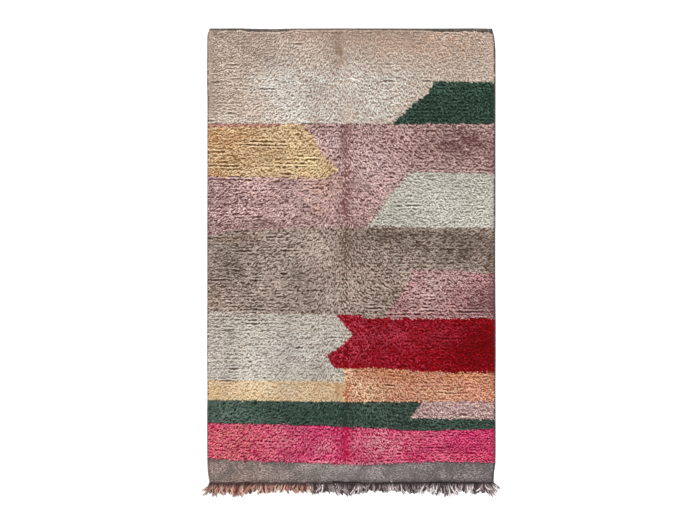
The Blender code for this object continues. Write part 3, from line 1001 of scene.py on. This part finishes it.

# ---- Dusty pink field
# Wool dyed a faded rose, mauver towards the right, with painted shade in the crease.
tie(
    "dusty_pink",
    [
        (-0.80, 0.49), (0.80, 0.49), (0.80, 1.02), (0.12, 1.02), (0.07, 1.036), (-0.30, 1.040),
        (-0.55, 1.054), (-0.80, 1.080),
    ],
    main=(230, 199, 193), pale=(240, 216, 216), warm=(224, 186, 170), dark=(126, 86, 88),
    foot=(0.24, 0.15, 0.15),
    pale_at=[
        (0.12, 0.72, 0.15, 0.13, 0.70), (-0.14, 0.64, 0.08, 0.09, 0.90),
        (-0.20, 0.84, 0.14, 0.08, 0.65),
    ],
    warm_at=[(-0.15, 0.78, 0.09, 0.20, 0.60)],
    dark_at=[
        # The first two dark patches are painted shade in the crease.
        (-0.03, 0.60, 0.035, 0.14, 0.48), (-0.03, 0.92, 0.045, 0.08, 0.40),
        (0.57, 0.59, 0.17, 0.08, 0.65), (-0.62, 0.90, 0.22, 0.04, 0.40),
        (-0.55, 1.02, 0.35, 0.04, 0.40),
    ],
    unevenness=1.0, shaded_specks=0.7, longer=1.12, stray=19, valleys=0.95,
)

# ---- Right pink block
# The same rose wool from another hank, with a slanting left end.
tie(
    "pink_block",
    [
        (0.328, 1.251), (0.50, 1.258), (0.80, 1.282), (0.80, 1.512), (0.165, 1.512), (0.170, 1.495),
        (0.266, 1.373),
    ],
    main=(211, 167, 166), pale=(233, 206, 202), warm=(204, 160, 150), dark=(122, 80, 86),
    foot=(0.26, 0.16, 0.18),
    pale_at=[(0.38, 1.38, 0.12, 0.10, 0.80), (0.55, 1.30, 0.14, 0.04, 0.30)],
    dark_at=[(0.70, 1.42, 0.12, 0.08, 0.52), (0.28, 1.45, 0.10, 0.03, 0.25)],
    unevenness=0.85, shaded_specks=0.7, stray=21, valleys=0.90,
)

# ---- Taupe field
# Undyed grey-brown wool, warmer at the left and darker at the right.
tie(
    "taupe",
    [
        (-0.80, 1.04), (0.80, 1.03), (0.80, 1.512), (0.06, 1.512), (0.06, 1.489), (-0.45, 1.487),
        (-0.80, 1.468),
    ],
    main=(204, 187, 175), pale=(228, 214, 202), warm=(196, 166, 150), dark=(108, 92, 80),
    foot=(0.22, 0.17, 0.14),
    pale_at=[
        (-0.14, 1.17, 0.10, 0.10, 0.50), (-0.12, 1.38, 0.12, 0.09, 0.30),
        (0.05, 1.38, 0.12, 0.09, 0.30),
    ],
    warm_at=[(-0.70, 1.40, 0.12, 0.10, 0.40), (-0.62, 1.09, 0.16, 0.03, 0.60)],
    dark_at=[
        (0.60, 1.16, 0.32, 0.10, 0.60), (0.40, 1.08, 0.30, 0.05, 0.35),
        (0.18, 1.08, 0.08, 0.04, 0.50), (-0.62, 1.28, 0.20, 0.13, 0.50),
        # The last dark patch is painted shade in the crease.
        (-0.29, 1.28, 0.06, 0.05, 0.50), (-0.03, 1.20, 0.03, 0.20, 0.14),
    ],
    unevenness=1.0, shaded_specks=0.7, longer=1.2, stray=17,
)

# ---- Red block
# Deep cochineal red, with a fish-tail left end; its left third has faded to rose.
tie(
    "red",
    [
        (-0.080, 1.489), (0.10, 1.491), (0.17, 1.508), (0.34, 1.508), (0.44, 1.501), (0.80, 1.507),
        (0.80, 1.789), (0.40, 1.785), (0.10, 1.768), (-0.085, 1.768), (-0.127, 1.702),
        (-0.05, 1.651), (0.008, 1.597),
    ],
    main=(175, 4, 28), pale=(214, 88, 114), warm=(154, 0, 18), dark=(134, 0, 8),
    foot=(0.38, 0.0, 0.07),
    pale_at=[(0.00, 1.60, 0.34, 0.16, 0.59)],
    dark_at=[(0.68, 1.66, 0.22, 0.14, 0.75)],
    unevenness=1.2, shaded_specks=0.4, longer=1.05, stray=22,
)

# ---- Left white block
# Natural off-white wool, with long partings near its top and bottom.
tie(
    "white_left",
    [
        (-0.80, 1.46), (0.10, 1.46), (0.10, 1.765), (-0.028, 1.765), (-0.044, 1.785),
        (-0.026, 1.802), (-0.042, 1.820), (-0.030, 1.844), (-0.80, 1.826),
    ],
    main=(228, 221, 211), pale=(240, 240, 238), warm=(222, 208, 194), dark=(160, 150, 140),
    foot=(0.44, 0.39, 0.34),
    pale_at=[(-0.22, 1.68, 0.24, 0.14, 0.60)],
    dark_at=[(-0.70, 1.51, 0.15, 0.03, 0.30)],
    unevenness=0.55, shaded_specks=0.8, valleys=0.55, width=FINE_TUFT,
)

# ---- Cream strip
# Pale yellow wool, cut shorter and lying smoother.
tie(
    "cream",
    [(-0.80, 1.82), (-0.035, 1.82), (-0.025, 1.86), (-0.04, 1.90), (-0.031, 1.942), (-0.80, 1.933)],
    main=(237, 216, 180), pale=(242, 234, 212), warm=(230, 190, 144), dark=(178, 130, 90),
    foot=(0.70, 0.58, 0.46),
    pale_at=[(-0.30, 1.88, 0.30, 0.05, 0.50)],
    warm_at=[(-0.72, 1.89, 0.06, 0.05, 0.50)],
    # The dark patch is painted shade in the crease.
    dark_at=[(-0.055, 1.88, 0.035, 0.08, 0.70)],
    unevenness=0.35, shaded_specks=0.35, longer=0.8, stray=26, valleys=0.30,
)

# ---- Peach strip
# Apricot wool, carried on from the cream to the right side.
tie(
    "peach",
    [(-0.05, 1.75), (0.80, 1.75), (0.80, 1.939), (0.40, 1.939), (-0.05, 1.946)],
    main=(240, 183, 157), pale=(248, 227, 190), warm=(228, 166, 124), dark=(166, 122, 96),
    foot=(0.43, 0.26, 0.18),
    pale_at=[
        (0.06, 1.88, 0.14, 0.06, 0.80), (-0.02, 1.80, 0.03, 0.05, 0.90),
        (0.45, 1.90, 0.12, 0.03, 0.30),
    ],
    warm_at=[(0.60, 1.80, 0.20, 0.05, 0.75), (0.22, 1.80, 0.12, 0.04, 0.65)],
    # The dark patch is painted shade in the crease.
    dark_at=[(-0.02, 1.90, 0.03, 0.05, 0.50)],
    shaded_specks=0.5, longer=0.9, valleys=0.60,
)

# ---- Pale pink wedge
# A thin wedge of pale pink wool let into the green band from the right.
tie(
    "wedge",
    [(0.380, 1.930), (0.80, 1.930), (0.80, 2.035), (0.298, 2.034), (0.312, 2.018)],
    main=(222, 195, 190), pale=(242, 224, 219), warm=(232, 192, 176), dark=(184, 144, 144),
    foot=(0.44, 0.34, 0.34),
    unevenness=0.9, shaded_specks=0.5, stray=18, valleys=0.85,
)

# ---- Green band
# Grey-green wool right across the rug, the longest tufts on it.
tie(
    "green_band",
    [
        (-0.80, 1.93), (0.80, 1.93), (0.80, 2.080), (0.63, 2.088), (0.40, 2.096), (0.17, 2.081),
        (0.0, 2.075), (-0.20, 2.065), (-0.80, 2.051),
    ],
    main=(80, 100, 88), pale=(136, 152, 140), warm=(60, 94, 74), dark=(34, 54, 46),
    foot=(0.26, 0.28, 0.27),
    pale_at=[(-0.66, 2.00, 0.13, 0.05, 0.30)],
    warm_at=[(-0.15, 2.00, 0.15, 0.05, 0.50)],
    # The dark patch is painted shade in the crease.
    dark_at=[(-0.03, 2.00, 0.05, 0.08, 0.50)],
    unevenness=1.0, longer=1.25, stray=14,
)

# ---- Hot pink band
# Bright magenta wool, coral at the left, worn dusty around the crease, with painted shade in the crease
# itself.
tie(
    "hot_pink",
    [(-0.80, 2.0), (0.80, 2.0), (0.80, 2.30), (-0.80, 2.30)],
    main=(238, 84, 141), pale=(230, 172, 180), warm=(230, 138, 138), dark=(174, 24, 84),
    foot=(0.44, 0.06, 0.20),
    pale_at=[
        (-0.34, 2.14, 0.11, 0.10, 0.55), (-0.14, 2.18, 0.06, 0.07, 0.45),
        (0.16, 2.15, 0.17, 0.08, 0.70), (0.45, 2.12, 0.12, 0.04, 0.15),
        (-0.10, 2.262, 0.90, 0.010, 0.45),
    ],
    warm_at=[(-0.64, 2.15, 0.26, 0.13, 1.00)],
    dark_at=[
        # The first dark patch is painted shade in the crease.
        (-0.03, 2.15, 0.05, 0.12, 0.40), (0.52, 2.19, 0.22, 0.025, 0.50),
        (-0.22, 2.21, 0.12, 0.03, 0.30),
    ],
    unevenness=0.9, shaded_specks=0.4, longer=1.05, stray=21,
)

# The knots' loops show in the dyed colours, with painted shade where the rows have parted.
layer = cloth_mesh.attributes.new("knot_colour", "FLOAT_COLOR", "CORNER")
corner_colours = np.repeat(knot_colours, 4, axis=0)
corner_line = (cloth_faces % number.size).ravel() // column_count
corner_place = grid_points[cloth_faces.ravel()]
parted = parting(corner_line - first_bed_line, corner_place[:, 0], TOP_Y - corner_place[:, 1])
corner_colours[:, :3] *= 1 - 0.6 * (parted * np.repeat(face_kind == KNOT_BED, 4))[:, None]
layer.data.foreach_set("color", corner_colours.astype(np.float32).ravel())

# ---- Bound sides
# The outermost warps are bound round with charcoal yarn into a cord, worn brown at both ends of the
# left side. The last tufts of each row fall over it, so it shows between the rows.

SELVEDGE_RADIUS = 0.0045
WRAP = 0.0045
RINGS_PER_WRAP = 3
SIDES_OF_CORD = 6
END_GAP = 0.002
IN_GROOVE, ON_TURN, GROOVE_SHAPE = 0.86, 0.14, 0.7
CORD_DRIFT = 0.05
MAP_BANDS = 24


def tube_faces(rings, sides):
    """The quads of a tube and the two caps that close it."""
    number = np.arange(rings * sides).reshape(rings, sides)
    following = np.roll(number, -1, axis=1)
    quads = np.stack([number[:-1], following[:-1], following[1:], number[1:]], axis=-1).reshape(-1, 4)
    return quads, np.stack([number[0][::-1], number[-1]])


def tube_places(across, low, high):
    """The map places of a tube's quads: across the map by its sides, and up it from ring to ring."""
    sides = across.shape[-1] - 1
    places = np.empty((len(low), sides, 4, 2))
    for corner, shift in enumerate((0, 1, 1, 0)):
        places[..., corner, 0] = across[..., shift : sides + shift]
        places[..., corner, 1] = (low, low, high, high)[corner][:, None]
    return places.reshape(-1, 2)


def bound_side(name, side):
    """One side's cord, with a groove between each turn of the yarn and the next."""
    ring_downs = np.arange(END_GAP, WOVEN_LENGTH - END_GAP, WRAP / RINGS_PER_WRAP)
    rings = len(ring_downs)
    turn = np.arange(SIDES_OF_CORD) / SIDES_OF_CORD
    down = ring_downs[:, None] + 0 * turn
    swell = np.abs(np.sin(pi * (down / WRAP + turn))) ** GROOVE_SHAPE
    radius = SELVEDGE_RADIUS * (IN_GROOVE + ON_TURN * swell)
    radius *= 1 + CORD_DRIFT * drift(down, turn * 0.01, 0.02, 61)
    centre_x = side_x(side, ring_downs)[:, None] - side * SELVEDGE_RADIUS
    angle = 2 * pi * turn
    x = centre_x + radius * np.cos(angle)
    z = SELVEDGE_RADIUS + radius * np.sin(angle)
    points = np.stack([x, TOP_Y - down, z], axis=-1).reshape(-1, 3)
    mesh = build_mesh(name, points, tube_faces(rings, SIDES_OF_CORD))
    # The cord is mapped in bands side by side, one length of it above the other in each.
    ring_share = np.arange(rings) / rings
    band = np.minimum((ring_share * MAP_BANDS).astype(int), MAP_BANDS - 1)[:-1]
    low = ring_share[:-1] * MAP_BANDS - band
    high = np.minimum(ring_share[1:] * MAP_BANDS - band, 1.0)
    across = (band[:, None] + 0.04 + 0.9 * np.append(turn, 1.0)[None]) / MAP_BANDS
    cap = np.stack([0.5 + 0.4 * np.cos(angle), 0.5 + 0.4 * np.sin(angle)], axis=-1) * 0.01 + (0.0, 0.985)
    around = tube_places(across, low * 0.98, high * 0.98)
    add_map(mesh, np.concatenate([around, cap[::-1], cap + (0.02, 0)]))
    return mesh


cord_wool, tree, shader = new_material("selvedge_wool_look", WOOL_ROUGHNESS)
strands = noise(tree, scale=420.0, detail=3.0)
charcoal = mix(tree, steepen(tree, strands, 0.35, 0.7), srgb(44, 38, 39), srgb(88, 80, 78))
x_here, y_here, _ = place_on_rug(tree)
at_top, at_bottom = steepen(tree, y_here, 1.00, 1.10), steepen(tree, y_here, -1.00, -1.06)
at_left = steepen(tree, x_here, 0.1, -0.1, to_high=0.85)
worn_brown = reckon(tree, "MULTIPLY", reckon(tree, "MAXIMUM", at_top, at_bottom), at_left)
charcoal = mix(tree, worn_brown, charcoal, srgb(124, 106, 98))
finish_shader(tree, shader, charcoal, strands, FUZZ)

for name, side in (("selvedge_left_wraps", -1), ("selvedge_right_wraps", 1)):
    piece = add_piece(name, bound_side(name, side), [cord_wool])
    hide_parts(name.removesuffix("_wraps"))

# ---- Fringe
# The warp ends below the flat-woven end, held by a dark twined cord and left in tangled bunches of
# plied strands: brown and tan wool in the left third, grey, charcoal and white after it.

DARK_UNDER_STRANDS, DARK_UNDER_RADIUS, DARK_UNDER_HEIGHT = 126, 0.0068, 0.0040
BUNCHES, STRANDS_IN_BUNCH, STRANDS_APART = 88, 5, 0.0036
STRAND_RADIUS = 0.0032
STRAND_RINGS = 11
STRAND_SIDES = 5
BUNCH_HEIGHT, UPPER_STRAND = 0.0070, 0.0020
LOOSE_HEIGHT = 0.0085
CORD_LENGTHS, CORD_RADIUS, CORD_HEIGHT, CORD_OVERLAP = 30, 0.0042, 0.0062, 0.06
STRAND_CELLS = 27
LOWEST_STRAND = 0.0002

# How the strands hang: how far they reach down, and the way they lean, in degrees towards the right.
HANGS = table_of(
    "x length lean",
    (-0.75, 0.066, -55), (-0.73, 0.074, -25), (-0.63, 0.068, -12), (-0.60, 0.084, -14),
    (-0.55, 0.074, -18), (-0.45, 0.066, -14), (-0.36, 0.056, -14), (-0.28, 0.054, -10),
    (-0.18, 0.062, -6), (-0.10, 0.058, 8), (-0.05, 0.074, -4), (0.03, 0.070, -6),
    (0.10, 0.046, -16), (0.16, 0.060, 10), (0.20, 0.048, -8), (0.26, 0.062, 6), (0.37, 0.062, -6),
    (0.42, 0.050, -12), (0.47, 0.076, 4), (0.52, 0.070, 8), (0.56, 0.056, -6), (0.64, 0.062, 6),
    (0.71, 0.068, 8), (0.735, 0.072, 40), (0.75, 0.070, 60),
)

# Strands that have worked loose and lie over the others: where one starts, its heading in degrees
# from straight down, how much it turns on its way, its length and its yarn.
LOOSE_STRANDS = table_of(
    "x down heading turn length yarn",
    (-0.742, 2.385, -70, 40, 0.045, "tan"), (-0.735, 2.400, -55, 20, 0.050, "brown"),
    (-0.165, 2.400, 170, -190, 0.058, "white"), (-0.090, 2.395, 175, -200, 0.060, "white"),
    (-0.055, 2.405, 120, -150, 0.050, "white"), (0.055, 2.372, 40, 10, 0.045, "white"),
    (0.078, 2.395, 140, 20, 0.035, "white"), (0.190, 2.385, 130, 30, 0.040, "white"),
    (0.215, 2.380, 60, -40, 0.040, "white"), (0.350, 2.385, 150, 30, 0.035, "charcoal"),
    (0.520, 2.400, 50, 20, 0.050, "white"), (0.700, 2.368, 24, 8, 0.066, "charcoal"),
    (0.722, 2.366, 40, 6, 0.062, "charcoal"), (0.732, 2.364, 55, 4, 0.056, "charcoal"),
    (0.736, 2.372, 62, -6, 0.048, "grey"),
)

YARNS = {
    "brown": (164, 122, 108),
    "tan": (208, 172, 152),
    "umber": (92, 56, 50),
    "maroon": (118, 58, 56),
    "grey": (132, 118, 118),
    "charcoal": (66, 55, 56),
    "white": (216, 206, 204),
    "mauve": (166, 146, 148),
    "black_and_shadow": (38, 30, 32),
}
# The brown warps end and the grey ones start about here, raggedly. Each kind has several yarns, and
# the share of each.
BROWN_UNTIL, BROWN_SPREAD = -0.20, 0.05
BROWN_YARNS = (("brown", "tan", "umber", "maroon"), (0.44, 0.28, 0.12, 0.16))
GREY_YARNS = (("grey", "charcoal", "white", "mauve"), (0.34, 0.26, 0.24, 0.16))

chance = np.random.default_rng(5)
left_end, right_end = side_x(-1, WOVEN_LENGTH), side_x(1, WOVEN_LENGTH)
lowest_y, farthest_x = cad_box[0][1] - 0.001, cad_box[1][0] - 0.001
fringe_points, fringe_quads, fringe_caps, fringe_values = [], [], [], []
quad_places, cap_places = [], []


def add_strand(path, radii, yarn, lobes=0.22, twist=2.5):
    """One plied strand: a tube along a path, closed at both ends, with two twisted lobes."""
    rings, sides = len(path), STRAND_SIDES
    turn = np.arange(sides) / sides * 2 * pi
    heading = np.gradient(path, axis=0)
    heading /= np.linalg.norm(heading, axis=1, keepdims=True)
    aside = np.cross(heading, (0, 0, 1.0))
    aside /= np.linalg.norm(aside, axis=1, keepdims=True)
    above = np.cross(aside, heading)
    length = np.linspace(0, 1, rings)[:, None]
    size = radii[:, None] * (1 + lobes * np.cos(2 * turn[None] + 2 * pi * twist * length))
    skin = path[:, None] + aside[:, None] * (size * np.cos(turn))[..., None]
    skin = skin + above[:, None] * (size * np.sin(turn))[..., None]
    skin[..., 2] = np.maximum(skin[..., 2], LOWEST_STRAND)
    start = sum(len(points) for points in fringe_points)
    quads, caps = tube_faces(rings, sides)
    fringe_points.append(skin.reshape(-1, 3))
    fringe_quads.append(start + quads)
    fringe_caps.append(start + caps)
    shade = np.full(rings * sides, list(YARNS).index(yarn) / (len(YARNS) - 1))
    tone = np.full(rings * sides, chance.uniform())
    fringe_values.append(np.stack([shade, np.repeat(length.ravel(), sides), tone]))
    across = np.append(np.arange(sides), sides) / sides * 0.9 + 0.05
    up = np.linspace(0.10, 0.90, rings)
    cap = np.stack([0.5 + 0.3 * np.cos(turn), 0.05 + 0.04 * np.sin(turn)], axis=-1)
    both_caps = np.concatenate([cap[::-1], cap + (0, 0.90)])
    spot = np.array(divmod(len(quad_places), STRAND_CELLS)[::-1]) / STRAND_CELLS
    quad_places.append(spot + tube_places(across, up[:-1], up[1:]) / STRAND_CELLS)
    cap_places.append(spot + both_caps / STRAND_CELLS)


def hanging_path(x, down, height, heading, turn, length, curl=0.0):
    """A strand's path from its root: it sets out on its heading and turns steadily, in degrees."""
    share = np.linspace(0, 1, STRAND_RINGS)
    angle = np.radians(heading + turn * share**1.4 + curl * np.sin(2 * pi * share * 1.3))
    step = length / (STRAND_RINGS - 1)
    along = np.concatenate([[0.0], np.cumsum(np.sin(angle[:-1])) * step])
    fallen = np.concatenate([[0.0], np.cumsum(np.cos(angle[:-1])) * step])
    path_x = np.clip(x + along, -farthest_x, farthest_x)
    path_y = np.maximum(TOP_Y - down - fallen, lowest_y)
    return np.stack([path_x, path_y, height * (1 - 0.35 * share)], axis=-1)


def hang_at(x):
    """The usual length and lean of the strands that hang at x."""
    return [read_table(HANGS, column, x, "x") for column in ("length", "lean")]


def is_brown(x):
    """Whether a strand at x belongs to the brown warps."""
    return x < BROWN_UNTIL + BROWN_SPREAD * chance.normal()


taper = np.concatenate([[0.7], np.full(STRAND_RINGS - 4, 1.0), [0.9, 0.65, 0.2]])
# A low layer of broad strands in the darker yarns lies under the bunches, so the gaps between them show
# dark: painted shade.
for index in range(DARK_UNDER_STRANDS):
    x = left_end + (right_end - left_end) * (index + 0.5) / DARK_UNDER_STRANDS
    usual_length, lean = hang_at(x)
    yarn = chance.choice(("umber", "maroon")) if is_brown(x) else "charcoal"
    length = usual_length * chance.uniform(0.66, 0.92)
    heading, turn = lean + chance.normal(0, 7), chance.normal(0, 12)
    path = hanging_path(x, WOVEN_LENGTH - 0.002, DARK_UNDER_HEIGHT, heading, turn, length)
    add_strand(path, DARK_UNDER_RADIUS * chance.uniform(0.9, 1.1) * taper, yarn, 0.15)
for index in range(BUNCHES):
    bunch_x = left_end + (right_end - left_end) * (index + 0.5) / BUNCHES
    usual_length, lean = hang_at(bunch_x)
    bunch_lean, bunch_turn = lean + chance.normal(0, 11), chance.normal(0, 30)
    bunch_length = usual_length * chance.uniform(0.86, 1.10)
    yarns, odds = BROWN_YARNS if is_brown(bunch_x) else GREY_YARNS
    bunch_yarn = chance.choice(yarns, p=odds)
    # The strands of a bunch close together towards its tip.
    for strand in range(STRANDS_IN_BUNCH):
        across = strand - (STRANDS_IN_BUNCH - 1) / 2
        path = hanging_path(
            bunch_x + across * STRANDS_APART + chance.normal(0, 0.0008),
            WOVEN_LENGTH - 0.003 + chance.uniform(0, 0.004),
            BUNCH_HEIGHT + UPPER_STRAND * (strand % 2) + chance.uniform(0, 0.001),
            bunch_lean - across * 4 + chance.normal(0, 6),
            bunch_turn + chance.normal(0, 14),
            bunch_length * chance.uniform(0.80, 1.06),
            chance.normal(0, 20),
        )
        yarn = bunch_yarn if chance.uniform() < 0.5 else chance.choice(yarns, p=odds)
        add_strand(path, STRAND_RADIUS * chance.uniform(0.75, 1.3) * taper, yarn)
for loose in LOOSE_STRANDS:
    path = hanging_path(loose.x, loose.down, LOOSE_HEIGHT, loose.heading, loose.turn, loose.length)
    add_strand(path, STRAND_RADIUS * taper, loose.yarn)

# The twined cord that stops the weft wanders along the last of the weaving; its near-black yarn from
# about the middle to the right side is partly painted shadow along the end of the weaving.
for index in range(CORD_LENGTHS):
    first, last = max(index - CORD_OVERLAP, 0.1), min(index + 1 + CORD_OVERLAP, CORD_LENGTHS - 0.1)
    x = left_end + (right_end - left_end) * np.linspace(first, last, STRAND_RINGS) / CORD_LENGTHS
    down = uneven(x, 0 * x, ((0.0045, 0.09, 62), (0.0020, 0.02, 63)), WOVEN_LENGTH - 0.002)
    path = np.stack([x, TOP_Y - down, np.full(STRAND_RINGS, CORD_HEIGHT)], axis=-1)
    thick = np.interp(x, (-0.75, -0.30, 0.0, 0.75), (0.65, 0.75, 1.15, 1.15))
    thick = thick * (1 + 0.3 * drift(x, 0 * x, 0.05, 64))
    yarn = "umber" if x[0] < -0.30 else "charcoal" if x[0] < -0.10 else "black_and_shadow"
    add_strand(path, CORD_RADIUS * thick * chance.uniform(0.9, 1.1, STRAND_RINGS), yarn, 0.3, 3.0)

fringe_mesh = build_mesh(
    "fringe_strands",
    np.concatenate(fringe_points),
    [np.concatenate(fringe_quads), np.concatenate(fringe_caps)],
)
add_map(fringe_mesh, np.concatenate(quad_places + cap_places))
for name, values in zip(("yarn", "along", "tone"), np.concatenate(fringe_values, axis=1)):
    add_values(fringe_mesh, name, values)

fringe_wool, tree, shader = new_material("fringe_wool_look")
ramp = node(tree, "ShaderNodeValToRGB")
ramp.color_ramp.interpolation = "CONSTANT"
while len(ramp.color_ramp.elements) < len(YARNS):
    ramp.color_ramp.elements.new(0.5)
for index, (element, colour) in enumerate(zip(ramp.color_ramp.elements, YARNS.values())):
    element.position = max(0.0, (index - 0.5) / (len(YARNS) - 1))
    element.color = srgb(*colour)
tree.links.new(own_value(tree, "yarn"), ramp.inputs["Fac"])
# Painted shade: in the grooves between the plies, and darkest over the roots under the cord.
SHADE_BETWEEN_PLIES = (0.035, 0.025, 0.024, 1)
SHADE_AT_THE_ROOT = (0.022, 0.017, 0.016, 1)
plies = noise(tree, scale=300.0, detail=3.0)
lightness = grey(tree, steepen(tree, own_value(tree, "tone"), 0.0, 1.0, 0.75, 1.25))
shaded = mix(tree, 1.0, ramp.outputs["Color"], lightness, "MULTIPLY")
shaded = mix(tree, steepen(tree, plies, 0.44, 0.64, to_high=0.45), shaded, SHADE_BETWEEN_PLIES)
shaded = mix(tree, steepen(tree, own_value(tree, "along"), 0.08, 0.45, 0.90, 0.0), shaded, SHADE_AT_THE_ROOT)
finish_shader(tree, shader, shaded, plies, FUZZ)
fringe_piece = add_piece("fringe_strands", fringe_mesh, [fringe_wool])
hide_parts("fringe")
